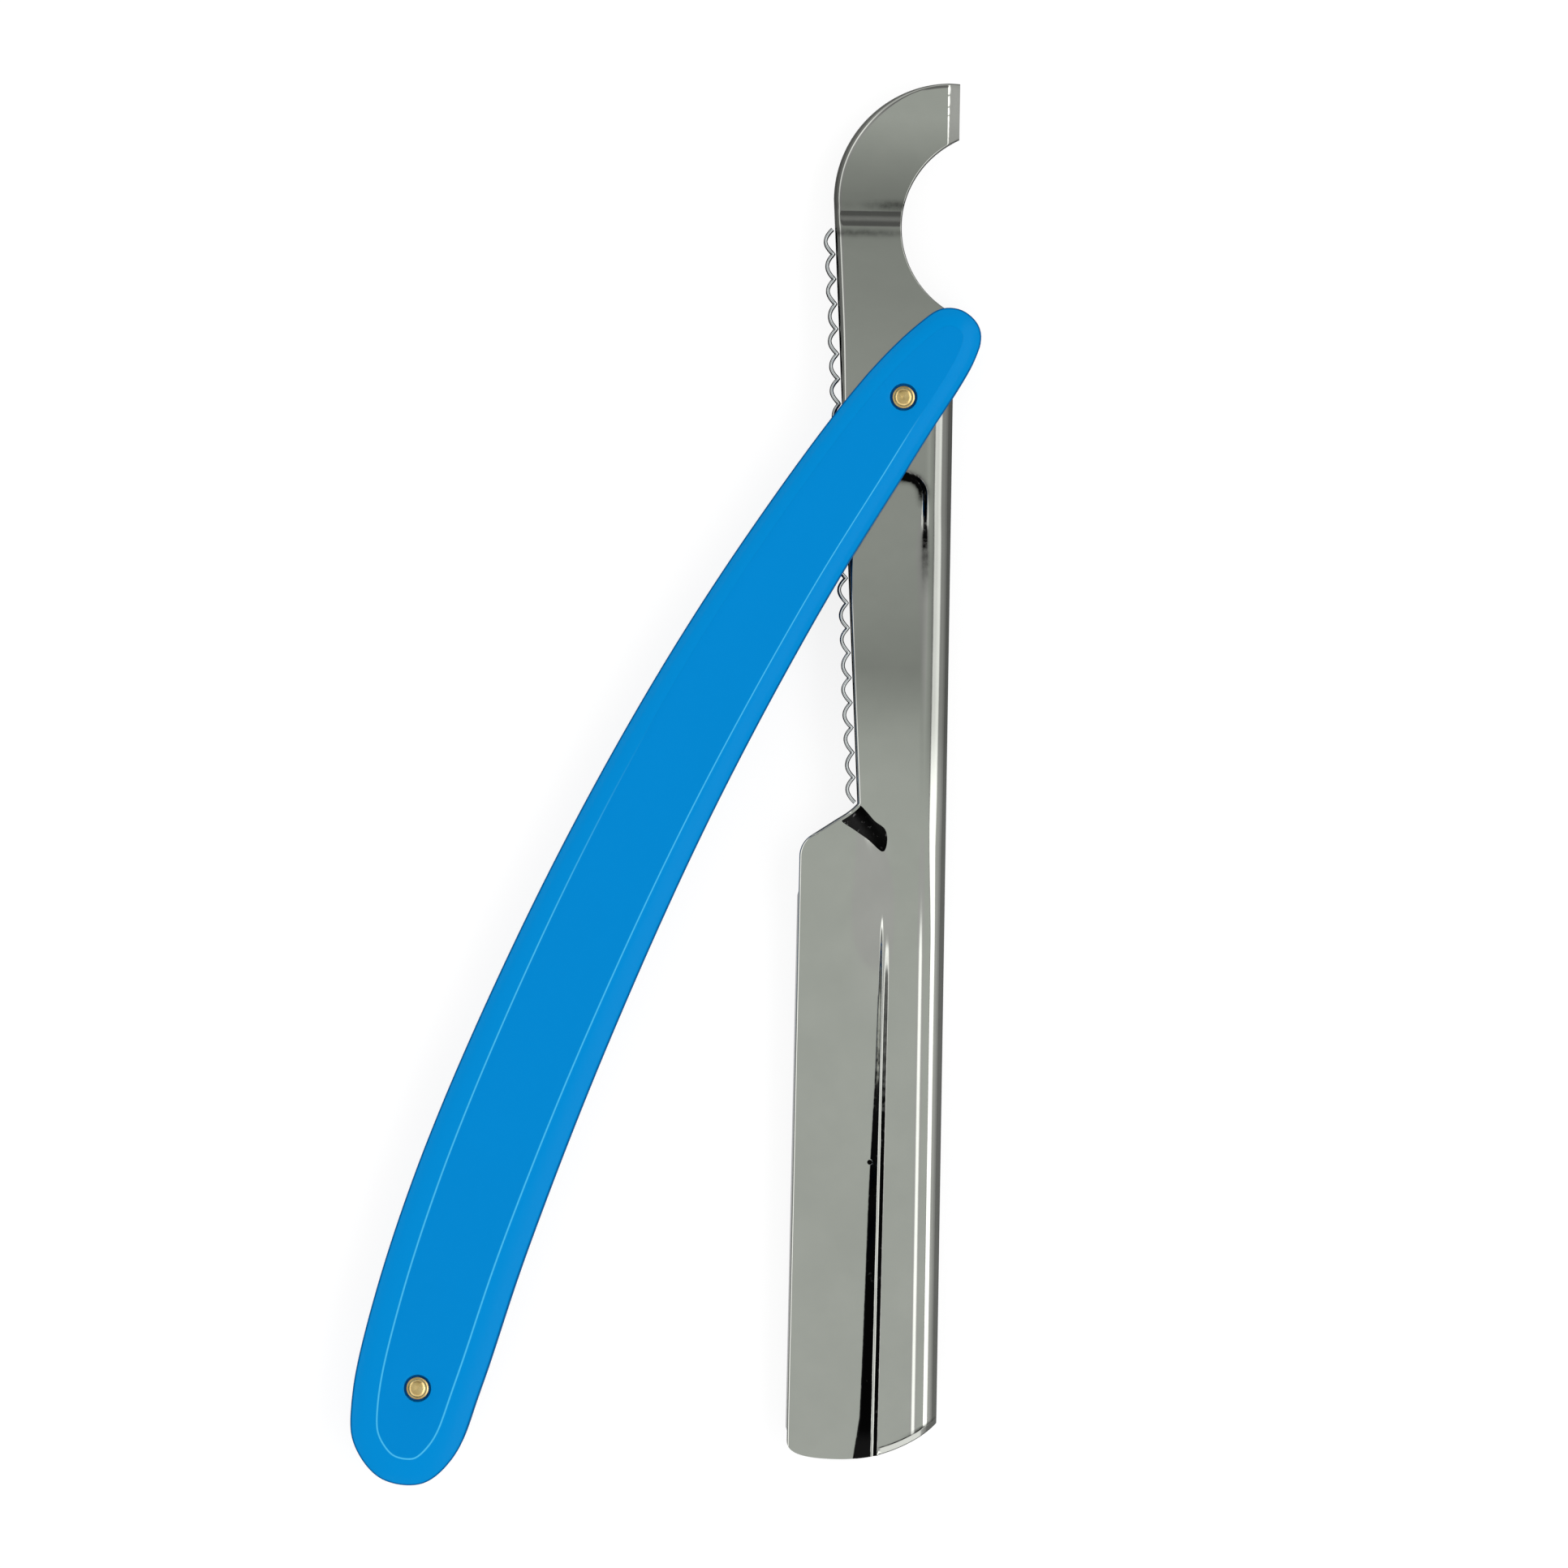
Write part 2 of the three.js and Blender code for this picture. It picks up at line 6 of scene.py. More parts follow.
import bmesh
import bpy
import numpy as np
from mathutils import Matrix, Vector


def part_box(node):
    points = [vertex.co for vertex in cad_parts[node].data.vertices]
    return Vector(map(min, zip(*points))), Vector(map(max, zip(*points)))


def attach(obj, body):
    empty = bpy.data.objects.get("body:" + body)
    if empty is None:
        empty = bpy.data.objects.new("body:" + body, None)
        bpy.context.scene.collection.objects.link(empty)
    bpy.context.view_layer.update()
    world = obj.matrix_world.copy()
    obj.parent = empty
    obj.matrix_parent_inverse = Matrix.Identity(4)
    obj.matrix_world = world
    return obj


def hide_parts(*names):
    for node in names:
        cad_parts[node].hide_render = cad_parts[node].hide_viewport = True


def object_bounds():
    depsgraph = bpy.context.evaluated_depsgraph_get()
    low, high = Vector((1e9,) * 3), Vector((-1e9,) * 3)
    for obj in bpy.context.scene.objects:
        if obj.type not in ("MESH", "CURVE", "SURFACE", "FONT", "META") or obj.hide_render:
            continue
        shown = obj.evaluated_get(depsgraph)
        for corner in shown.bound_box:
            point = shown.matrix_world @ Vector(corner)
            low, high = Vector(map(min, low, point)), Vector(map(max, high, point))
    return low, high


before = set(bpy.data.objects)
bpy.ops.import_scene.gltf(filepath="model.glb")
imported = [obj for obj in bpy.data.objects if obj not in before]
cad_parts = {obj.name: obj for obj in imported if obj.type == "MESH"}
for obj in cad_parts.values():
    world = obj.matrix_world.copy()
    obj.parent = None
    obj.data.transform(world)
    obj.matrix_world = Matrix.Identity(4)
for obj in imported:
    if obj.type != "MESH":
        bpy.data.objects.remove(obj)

cad_low, cad_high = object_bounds()
scene = bpy.context.scene
MM = 0.001


def box_mm(node):
    low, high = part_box(node)
    return low / MM, high / MM


# ---------------------------------------------------------------- places taken from the frame

shell_low, shell_high = box_mm("holder_shell")
scale_low, scale_high = box_mm("front_scale")
pin_low, pin_high = box_mm("pivot_pin")
tail_low, tail_high = box_mm("tail_pin")
collar_low, collar_high = box_mm("pivot_collar_front")
strip_low, strip_high = box_mm("finger_grip_strip")
blade_low, blade_high = box_mm("razor_blade")

PIVOT = (pin_low + pin_high) / 2
TAIL = (tail_low + tail_high) / 2
MID = PIVOT.z
TIP_X = shell_high.x
FREE_END_Y = shell_low.y
LEAF_EDGE_END_X = shell_low.x
SCALE_THICKNESS = scale_high.z - scale_low.z
PIN_HEAD_RADIUS = (pin_high.x - pin_low.x) / 2
COLLAR_RADIUS = (collar_high.x - collar_low.x) / 2
BORE_RADIUS = PIN_HEAD_RADIUS - 0.15

# ---------------------------------------------------------------- the holder's sizes

SHEET = 0.45
SPINE_X = TIP_X - 0.25
SPINE_RADIUS = 1.85
SHANK_NOSE = 2.45
SHANK_HALF = 1.85
HOOK_HALF = 1.3
PANEL_HALF = 1.3
PANEL_LOW_HALF = 1.65
PANEL_TOP_Y = PIVOT.y - 8.5
PANEL_RIGHT_X = 2.6
PANEL_CORNER = 2.2
BAND_HALF = 2.1
SPINE_HALF = shell_high.z - MID
SPINE_RISE_START_X = 2.45
SPINE_RISE_END_X = 3.3
LEAF_HALF = 0.715
HOOK_CENTRE = np.array([4.9, 22.0])
HOOK_RADIUS = 12.95
REST_CENTRE = np.array([10.2, 19.0])
REST_RADIUS = 10.7
JOGGLE_LOW_Y = 18.7
JOGGLE_HIGH_Y = 20.9
SHOULDER_Y = -45.0
LEAF_TOP_Y = SHOULDER_Y - 5.8
WALL_END_Y = SHOULDER_Y - 3.9
LEAF_EDGE_TOP_X = -10.69
WALL_FOOT_X = -4.26
WALL_FOOT_Y = SHOULDER_Y - 2
SPINE_END_RISE = 4.2
WALL_ROUND = 0.55
REST_ROUND = 0.2
CREASE_TOP_X = -1.15
CREASE_TOP_Y = -58
CREASE_END_X = -2.5
CREASE_FOOT = -0.15
LEDGE_WIDTH = 0.3
UPPER_WALL_END = 0.6
LIP_WIDTH = 1.3
LIP_SLOPE = 0.5
END_BEVEL = 0.75
CREASE_LEAN = 0.0078
EDGE_CURL = 0.16
EDGE_CURL_WIDTH = 0.35


# ---------------------------------------------------------------- mesh helpers

def smoothstep(low, high, value):
    share = np.clip((value - low) / (high - low), 0.0, 1.0)
    return share * share * (3 - 2 * share)


def mesh_piece(name, points, faces, *materials):
    mesh = bpy.data.meshes.new(name)
    mesh.from_pydata([[c * MM for c in point] for point in points], [], faces)
    for material in materials:
        mesh.materials.append(material)
    piece = bpy.data.objects.new(name, mesh)
    scene.collection.objects.link(piece)
    return piece


def apply_modifiers(piece):
    graph = bpy.context.evaluated_depsgraph_get()
    made = bpy.data.meshes.new_from_object(piece.evaluated_get(graph))
    piece.modifiers.clear()
    old = piece.data
    piece.data = made
    bpy.data.meshes.remove(old)


def shade(piece, sharp_degrees=32, recalculate=True):
    """Smooth shading, except over edges that bend by more than the sharp angle."""
    mesh = bmesh.new()
    mesh.from_mesh(piece.data)
    if recalculate:
        bmesh.ops.recalc_face_normals(mesh, faces=mesh.faces)
    for face in mesh.faces:
        face.smooth = True
    limit = math.radians(sharp_degrees)
    for edge in mesh.edges:
        edge.smooth = len(edge.link_faces) == 2 and edge.calc_face_angle() < limit
    mesh.to_mesh(piece.data)
    mesh.free()


def cut(piece, outline, low, high):
    """Cuts an upright prism out of a piece."""
    count = len(outline)
    points = [(x, y, low) for x, y in outline] + [(x, y, high) for x, y in outline]
    faces = [list(range(count))[::-1], list(range(count, 2 * count))]
    for i in range(count):
        after = (i + 1) % count
        faces.append([i, after, count + after, count + i])
    tool = mesh_piece("cutter", points, faces, *piece.data.materials[:1])
    modifier = piece.modifiers.new("cut", "BOOLEAN")
    modifier.operation = "DIFFERENCE"
    modifier.solver = "MANIFOLD"
    modifier.object = tool
    apply_modifiers(piece)
    bpy.data.objects.remove(tool)


def circle(radius, x=0.0, y=0.0, count=48):
    turn = 2 * math.pi / count
    return [(x + radius * math.cos(i * turn), y + radius * math.sin(i * turn)) for i in range(count)]


def smooth_closed(points, count):
    """A smooth closed curve through points, sampled evenly."""
    points = np.array(points, float)
    before = np.roll(points, 1, axis=0)
    after = np.roll(points, -1, axis=0)
    beyond = np.roll(points, -2, axis=0)
    steps = np.linspace(0, 1, 9)[:-1, None]
    bent = []
    for p0, p1, p2, p3 in zip(before, points, after, beyond):
        bent.append(0.5 * (2 * p1 + (p2 - p0) * steps + (2 * p0 - 5 * p1 + 4 * p2 - p3) * steps ** 2
                           + (3 * p1 - p0 - 3 * p2 + p3) * steps ** 3))
    return resample_closed(np.vstack(bent), count)


def resample_closed(points, count):
    looped = np.vstack([points, points[:1]])
    lengths = np.linalg.norm(np.diff(looped, axis=0), axis=1)
    travelled = np.concatenate([[0], np.cumsum(lengths)])
    wanted = np.linspace(0, travelled[-1], count, endpoint=False)
    return np.column_stack([np.interp(wanted, travelled, looped[:, i]) for i in (0, 1)])


def turned(name, profile, centre, *materials, segments=64):
    """A piece turned round an upright axis, from a closed or axis-to-axis profile of (radius, height)."""
    points, faces = [], []
    rings = []
    for radius, height in profile:
        if radius < 1e-6:
            rings.append([len(points)])
            points.append((centre.x, centre.y, height))
            continue
        rings.append(list(range(len(points), len(points) + segments)))
        for x, y in circle(radius, centre.x, centre.y, segments):
            points.append((x, y, height))
    closed = profile[0][0] > 1e-6
    pairs = list(zip(rings, rings[1:])) + ([(rings[-1], rings[0])] if closed else [])
    for one, two in pairs:
        for i in range(segments):
            after = (i + 1) % segments
            if len(one) == 1:
                faces.append([one[0], two[after], two[i]])
            elif len(two) == 1:
                faces.append([one[i], one[after], two[0]])
            else:
                faces.append([one[i], one[after], two[after], two[i]])
    piece = mesh_piece(name, points, faces, *materials)
    shade(piece)
    return piece


# ---------------------------------------------------------------- material helpers

class Nodes:
    """Short calls for a material's or world's node tree."""

    def __init__(self, tree):
        self.tree = tree
        tree.nodes.clear()

    def add(self, kind, **settings):
        node = self.tree.nodes.new(kind)
        for key, value in settings.items():
            setattr(node, key, value)
        return node

    def link(self, source, target):
        self.tree.links.new(source, target)

    def math(self, operation, first, second=None, third=None, clamp=False):
        node = self.add("ShaderNodeMath", operation=operation, use_clamp=clamp)
        for socket, value in zip(node.inputs, (first, second, third)):
            if value is None:
                continue
            if isinstance(value, (int, float)):
                socket.default_value = value
            else:
                self.link(value, socket)
        return node.outputs[0]

    def ramp(self, factor, stops, interpolation="LINEAR"):
        node = self.add("ShaderNodeValToRGB")
        node.color_ramp.interpolation = interpolation
        elements = node.color_ramp.elements
        while len(elements) < len(stops):
            elements.new(0.5)
        for element, (position, color) in zip(elements, stops):
            element.position = position
            if isinstance(color, (int, float)):
                color = (color, color, color)
            element.color = (*color, 1)
        self.link(factor, node.inputs[0])
        return node.outputs[0]

    def noise(self, scale, detail=3.0, roughness=0.5, stretch=(1, 1, 1), distortion=0.0):
        place = self.add("ShaderNodeTexCoord")
        mapping = self.add("ShaderNodeMapping")
        mapping.inputs["Scale"].default_value = stretch
        texture = self.add("ShaderNodeTexNoise")
        texture.inputs["Scale"].default_value = scale
        texture.inputs["Detail"].default_value = detail
        texture.inputs["Roughness"].default_value = roughness
        texture.inputs["Distortion"].default_value = distortion
        self.link(place.outputs["Object"], mapping.inputs["Vector"])
        self.link(mapping.outputs["Vector"], texture.inputs["Vector"])
        return texture.outputs["Fac"]

    def mix(self, factor, first, second, blend="MIX"):
        node = self.add("ShaderNodeMix", data_type="RGBA", blend_type=blend)
        for socket, value in zip((node.inputs[0], node.inputs[6], node.inputs[7]), (factor, first, second)):
            if isinstance(value, (int, float)):
                socket.default_value = value
            elif isinstance(value, tuple):
                socket.default_value = (*value, 1)
            else:
                self.link(value, socket)
        return node.outputs[2]

    def bump(self, height, strength, distance, normal=None):
        node = self.add("ShaderNodeBump")
        node.inputs["Strength"].default_value = strength
        node.inputs["Distance"].default_value = distance
        self.link(height, node.inputs["Height"])
        if normal is not None:
            self.link(normal, node.inputs["Normal"])
        return node.outputs["Normal"]

    def attribute(self, name):
        return self.add("ShaderNodeAttribute", attribute_name=name).outputs["Fac"]


def new_material(name, metallic=0.0, roughness=0.3, **sockets):
    """A material with one principled shader, and the helper for its nodes."""
    material = bpy.data.materials.new(name)
    material.use_nodes = True
    nodes = Nodes(material.node_tree)
    shader = nodes.add("ShaderNodeBsdfPrincipled")
    output = nodes.add("ShaderNodeOutputMaterial")
    nodes.link(shader.outputs[0], output.inputs["Surface"])
    shader.inputs["Metallic"].default_value = metallic
    shader.inputs["Roughness"].default_value = roughness
    for socket, value in sockets.items():
        shader.inputs[socket.replace("_", " ")].default_value = value
    return material, nodes, shader


def grey(value):
    return (value, value, value)


# ---------------------------------------------------------------- materials

def blue_plastic():
    """Glossy moulded plastic: clear blue, cloudy in its depth, with a painted highlight along the crest of
    the bevel, a painted paler tone on the bevel and painted shade along the rim.
    """
    material, nodes, shader = new_material("blue_plastic", roughness=0.2, IOR=1.33,
                                            Specular_IOR_Level=0.08)
    cloud = nodes.noise(38, detail=2)
    speck = nodes.noise(900, detail=2)
    base = nodes.mix(cloud, (0.0, 0.266, 0.70), (0.0, 0.288, 0.757))
    base = nodes.mix(nodes.math("MULTIPLY", speck, 0.08), base, (0.0, 0.32, 0.82))
    # Painted light: the bevel is tinted a slightly paler blue for the light it catches.
    base = nodes.mix(nodes.attribute("bevel"), base, (0.0, 0.300, 0.77))
    # Painted highlight: a thin pale-blue line along the crest of the bevel.
    base = nodes.mix(nodes.attribute("crest"), base, (0.08, 0.60, 1.0))
    # Painted shade: a dark blue line along the scale's rounded outer rim.
    base = nodes.mix(nodes.attribute("rim"), base, (0.0, 0.11, 0.36))
    nodes.link(base, shader.inputs["Base Color"])
    nodes.link(nodes.math("MULTIPLY_ADD", speck, 0.12, 0.14), shader.inputs["Roughness"])
    ripple = nodes.noise(70, detail=1)
    normal = nodes.bump(ripple, 0.25, 0.0004)
    nodes.link(nodes.bump(speck, 0.05, 0.00005, normal), shader.inputs["Normal"])
    return material


def spacer_plastic():
    """The same plastic, sawn and less polished."""
    material, nodes, shader = new_material("spacer_plastic", roughness=0.4)
    saw = nodes.noise(400, detail=3, stretch=(1, 1, 12))
    nodes.link(nodes.mix(saw, (0.0, 0.18, 0.5), (0.0, 0.24, 0.62)), shader.inputs["Base Color"])
    nodes.link(nodes.math("MULTIPLY_ADD", saw, 0.2, 0.3), shader.inputs["Roughness"])
    nodes.link(nodes.bump(saw, 0.3, 0.0001), shader.inputs["Normal"])
    return material


def washer_plastic():
    material, nodes, shader = new_material("washer_plastic", roughness=0.5)
    speck = nodes.noise(1200, detail=3)
    nodes.link(nodes.mix(speck, grey(0.66), grey(0.78)), shader.inputs["Base Color"])
    nodes.link(nodes.bump(speck, 0.2, 0.00005), shader.inputs["Normal"])
    return material


def polished_steel(name, tint, dark, roughness, brushed=(1, 0.02, 1)):
    """Bright sheet steel: fine polishing lines, faint stains, tiny dents, and vertex values for painted
    shade (in creases, along borders and on edges) and for painted darkening of its reflections (shank,
    hook, spine)."""
    material, nodes, shader = new_material(name, metallic=1.0, roughness=roughness)
    lines = nodes.noise(2600, detail=2, stretch=brushed)
    stain = nodes.noise(160, detail=4, roughness=0.6)
    dents = nodes.noise(900, detail=2, roughness=0.5)
    blotch = nodes.ramp(nodes.noise(75, detail=5, roughness=0.65), [(0.35, 0.0), (0.65, 1.0)])
    base = nodes.mix(stain, dark, tint)
    base = nodes.mix(nodes.math("MULTIPLY", blotch, 0.35), base, tuple(0.86 * c for c in dark))
    base = nodes.mix(nodes.math("MULTIPLY", lines, 0.10), base, dark)
    patches = nodes.math("MULTIPLY_ADD", nodes.noise(1100, detail=4, roughness=0.7), 2.2, 0.2)
    # Painted shade: near black where the crease, the panel's border, the joggle and edges fall into shade.
    grime = nodes.math("MULTIPLY", nodes.attribute("painted_shade"), patches, clamp=True)
    # Painted darkening of the steel's reflections along the shank, the hook and the spine.
    base = nodes.mix(nodes.attribute("painted_dimming"), base, grey(0.0))
    base = nodes.mix(grime, base, grey(0.004))
    nodes.link(base, shader.inputs["Base Color"])
    wear = nodes.math("MULTIPLY_ADD", lines, 0.05, roughness - 0.025)
    nodes.link(wear, shader.inputs["Roughness"])
    normal = nodes.bump(stain, 0.03, 0.0002)
    normal = nodes.bump(dents, 0.03, 0.00006, normal)
    nodes.link(nodes.bump(lines, 0.03, 0.00003, normal), shader.inputs["Normal"])
    return material


def raw_steel_in_painted_shade():
    """Inside of the folded sheet, where polish doesn't reach, painted nearly black as shade for the closed
    cavity.
    """
    material, nodes, shader = new_material("raw_steel_in_painted_shade", metallic=0.6, roughness=0.6)
    scale = nodes.noise(2200, detail=4)
    flecks = nodes.ramp(scale, [(0.0, 0.006), (0.62, 0.012), (0.72, 0.35)])
    nodes.link(flecks, shader.inputs["Base Color"])
    nodes.link(nodes.bump(scale, 0.3, 0.0001), shader.inputs["Normal"])
    return material


def blade_steel():
    """Blued carbon steel with a bright ground edge."""
    material, nodes, shader = new_material("blade_steel", metallic=1.0, roughness=0.28)
    lines = nodes.noise(2400, detail=2, stretch=(0.03, 1, 1))
    body = nodes.mix(lines, (0.045, 0.05, 0.06), (0.08, 0.085, 0.10))
    ground = nodes.mix(lines, grey(0.62), grey(0.75))
    nodes.link(nodes.mix(nodes.attribute("ground"), body, ground), shader.inputs["Base Color"])
    nodes.link(nodes.bump(lines, 0.08, 0.00003), shader.inputs["Normal"])
    return material


def brass():
    """Polished brass, a little darker in its turning marks."""
    material, nodes, shader = new_material("brass", metallic=1.0, roughness=0.24)
    marks = nodes.noise(1500, detail=3)
    blotch = nodes.noise(1100, detail=2)
    base = nodes.mix(blotch, (0.50, 0.32, 0.09), (1.0, 0.80, 0.40))
    nodes.link(base, shader.inputs["Base Color"])
    nodes.link(nodes.math("MULTIPLY_ADD", marks, 0.2, 0.16), shader.inputs["Roughness"])
    nodes.link(nodes.bump(marks, 0.25, 0.00008), shader.inputs["Normal"])
    return material


BLUE = blue_plastic()
SPACER = spacer_plastic()
WASHER = washer_plastic()
STEEL = polished_steel("polished_steel", (0.62, 0.63, 0.585), (0.55, 0.565, 0.525), 0.10)
GRIP = polished_steel("grip_steel", (0.70, 0.73, 0.72), (0.5, 0.53, 0.54), 0.16, brushed=(1, 1, 0.02))
RAW_IN_PAINTED_SHADE = raw_steel_in_painted_shade()
BLADE = blade_steel()
BRASS = brass()


def vertex_values(piece, name, values):
    """Stores one number per vertex, which a material reads as an attribute."""
    attribute = piece.data.attributes.new(name, "FLOAT", "POINT")
    attribute.data.foreach_set("value", np.asarray(values, np.float32))


# ---------------------------------------------------------------- scales

OUTLINE_POINTS = 720
BEVEL_HEAD = 2.0
BEVEL_TAIL = 3.0
BEVEL_FALL = 0.62
RIM_ROUND = 0.4


def scale_outline():
    """The scale's outline, from the boundary of its CAD node's flat inner face, made smooth."""
    mesh = bmesh.new()
    mesh.from_mesh(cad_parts["front_scale"].data)
    bmesh.ops.remove_doubles(mesh, verts=mesh.verts, dist=1e-6)
    inner = scale_low.z * MM
    flat = [f for f in mesh.faces if all(abs(v.co.z - inner) < 1e-6 for v in f.verts)]
    inside = set(flat)
    border = [e for f in flat for e in f.edges if sum(g in inside for g in e.link_faces) == 1]
    follow = {}
    for edge in border:
        for one, two in (edge.verts, reversed(edge.verts)):
            follow.setdefault(one, []).append(two)
    start = max(follow, key=lambda v: v.co.y)
    loop, last, here = [start], None, start
    while True:
        step = [v for v in follow[here] if v is not last][0]
        if step is start:
            break
        loop.append(step)
        last, here = here, step
    points = [(v.co.x / MM, v.co.y / MM) for v in loop]
    mesh.free()
    area = sum(a[0] * b[1] - b[0] * a[1] for a, b in zip(points, points[1:] + points[:1]))
    return smooth_closed(points if area > 0 else points[::-1], OUTLINE_POINTS)


def outward(points):
    along = np.roll(points, -1, axis=0) - np.roll(points, 1, axis=0)
    normal = np.column_stack([along[:, 1], -along[:, 0]])
    return normal / np.linalg.norm(normal, axis=1)[:, None]


def evened(points, rounds):
    for _ in range(rounds):
        points = (np.roll(points, 1, axis=0) + 2 * points + np.roll(points, -1, axis=0)) / 4
    return points


OUTLINE = scale_outline()
OUTWARD = outward(OUTLINE)
tail_way = np.array([TAIL.x - PIVOT.x, TAIL.y - PIVOT.y])
tail_share = np.clip(OUTLINE @ tail_way / (tail_way @ tail_way), 0, 1)
BEVEL = BEVEL_HEAD + (BEVEL_TAIL - BEVEL_HEAD) * smoothstep(0.1, 1.0, tail_share)


def inset(distance):
    """The outline moved inwards, evened where its ends turn tightly."""
    moved = OUTLINE - OUTWARD * np.broadcast_to(distance, (OUTLINE_POINTS,))[:, None]
    return evened(moved, 12)


def scale_rings():
    """Rings of the scale from its inner face's edge to its flat outer face: (outline, height, marks)."""
    top = SCALE_THICKNESS
    rings = [(OUTLINE - 0.12 * OUTWARD, 0.0, "rim"), (OUTLINE, 0.12, "rim")]
    shoulder = top - BEVEL_FALL - RIM_ROUND
    for degrees in range(0, 76, 15):
        turn = math.radians(degrees)
        drawn_in = RIM_ROUND * (1 - math.cos(turn))
        mark = "rim" if degrees < 50 else "bevel"
        rings.append((OUTLINE - drawn_in * OUTWARD, shoulder + RIM_ROUND * math.sin(turn), mark))
    for share in (0.3, 0.5, 0.7, 0.85):
        rings.append((inset(BEVEL * share), top - BEVEL_FALL * (1 - share) ** 1.25, "bevel"))
    rings.append((inset(BEVEL * 0.94), top - 0.03, "bevel"))
    rings.append((inset(BEVEL * 0.965), top - 0.012, "crest"))
    rings.append((inset(BEVEL * 0.995), top - 0.002, "crest"))
    rings.append((inset(BEVEL * 1.02), top, "face"))
    rings.append((inset(BEVEL * 1.3), top, "face"))
    return rings


def join_rings(mesh, rings):
    """Fills the strips between rings of vertices with four-sided faces."""
    for one, two in zip(rings, rings[1:]):
        for i in range(len(one)):
            after = (i + 1) % len(one)
            mesh.faces.new((one[i], one[after], two[after], two[i]))


def ring_edges(mesh, ring):
    return [mesh.edges.get((ring[i], ring[(i + 1) % len(ring)])) for i in range(len(ring))]


def scale_piece(name, node, front):
    """One scale, with its two counterbored pin holes. Height runs from its inner face outwards."""
    inner = scale_low.z if front else 2 * MID - scale_low.z
    way = 1 if front else -1
    mesh = bmesh.new()
    marks = {"rim": [], "bevel": [], "crest": []}
    rows = []
    on_belly = OUTWARD @ np.array([-tail_way[1], tail_way[0]]) > 0
    on_back = smoothstep(0.35, 0.6, tail_share)
    # The painted crest highlight is strong on the belly side and towards the back of the tail.
    crest_highlight = np.where(on_belly, smoothstep(0.0, 0.06, tail_share), on_back)
    for outline, height, mark in scale_rings():
        row = []
        for i, (x, y) in enumerate(outline):
            row.append(mesh.verts.new((x * MM, y * MM, (inner + way * height) * MM)))
            # Rings of the rounded rim carry the painted shade.
            marks["rim"].append(0.75 if mark == "rim" else 0.0)
            marks["bevel"].append(1.0 if mark == "bevel" else 0.0)
            marks["crest"].append(crest_highlight[i] if mark == "crest" else 0.0)
        rows.append(row)
    join_rings(mesh, rows)
    wide = COLLAR_RADIUS + 0.25
    lip = 0.12
    depth = scale_high.z - collar_low.z + 0.04
    profile = [(wide + lip, SCALE_THICKNESS), (wide + 0.3 * lip, SCALE_THICKNESS - 0.3 * lip),
               (wide, SCALE_THICKNESS - lip), (wide, SCALE_THICKNESS - depth),
               (BORE_RADIUS, SCALE_THICKNESS - depth), (BORE_RADIUS, 0.0)]
    face_edges = ring_edges(mesh, rows[-1])
    back_edges = ring_edges(mesh, rows[0])
    for centre in (PIVOT, TAIL):
        rings = []
        for radius, height in profile:
            ring = []
            for x, y in circle(radius, centre.x, centre.y):
                ring.append(mesh.verts.new((x * MM, y * MM, (inner + way * height) * MM)))
                for values in marks.values():
                    values.append(0.0)
            rings.append(ring)
        join_rings(mesh, rings)
        face_edges += ring_edges(mesh, rings[0])
        back_edges += ring_edges(mesh, rings[-1])
    for edges in (face_edges, back_edges):
        bmesh.ops.triangle_fill(mesh, edges=edges, use_beauty=True, use_dissolve=False)
    data = bpy.data.meshes.new(name)
    mesh.to_mesh(data)
    mesh.free()
    data.materials.append(BLUE)
    piece = bpy.data.objects.new(name, data)
    scene.collection.objects.link(piece)
    for mark, values in marks.items():
        vertex_values(piece, mark, values)
    shade(piece, 40)
    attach(piece, "handle")
    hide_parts(node)


# ---------------------------------------------------------------- pins, collars, washers and bush

def turned_pin(name, node, centre):
    """A pin peened over at both ends, with a dimple in each head."""
    half = (pin_high.z - pin_low.z) / 2
    head, shank, thick = PIN_HEAD_RADIUS, PIN_HEAD_RADIUS - 0.2, 0.27
    end = [(0.0, half - 0.07), (0.18 * head, half - 0.05), (0.42 * head, half),
           (0.7 * head, half - 0.03), (0.9 * head, half - 0.10), (head, half - 0.2),
           (0.96 * head, half - thick), (shank, half - thick)]
    profile = [(r, MID + z) for r, z in end] + [(r, MID - z) for r, z in reversed(end)]
    piece = turned(name, profile, centre, BRASS)
    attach(piece, "handle")
    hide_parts(node)


def turned_ring(name, node, outer, body, material, cup=0.0):
    """A washer, collar or bush between its CAD node's faces, with rounded rims. A cup's middle is sunk."""
    low, high = box_mm(node)
    centre = (low + high) / 2
    bore = BORE_RADIUS
    round_off = min(0.12, (high.z - low.z) / 4)
    width = outer - bore
    sunk_top = high.z - (cup if centre.z > MID else 0)
    sunk_low = low.z + (cup if centre.z < MID else 0)
    profile = [(bore, sunk_low), (bore + 0.55 * width, sunk_low), (outer - 1.6 * round_off, low.z),
               (outer - 0.3 * round_off, low.z + 0.3 * round_off), (outer, low.z + round_off),
               (outer, high.z - round_off), (outer - 0.3 * round_off, high.z - 0.3 * round_off),
               (outer - 1.6 * round_off, high.z), (bore + 0.55 * width, sunk_top), (bore, sunk_top)]
    piece = turned(name, profile, centre, material)
    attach(piece, body)
    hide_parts(node)


# ---------------------------------------------------------------- folded sheet-steel holder

def curve(points, count=40):
    """A Bezier curve of any degree, sampled evenly in its parameter."""
    t = np.linspace(0, 1, count)[:, None]
    degree = len(points) - 1
    return sum(math.comb(degree, i) * (1 - t) ** (degree - i) * t ** i * np.array(p, float)
               for i, p in enumerate(points))


def wall_x(y):
    """The shank's side wall, a straight line from the hook to the shank's end."""
    top_x = HOOK_CENTRE[0] - HOOK_RADIUS
    return top_x + (HOOK_CENTRE[1] - y) / (HOOK_CENTRE[1] - WALL_FOOT_Y) * (WALL_FOOT_X - top_x)


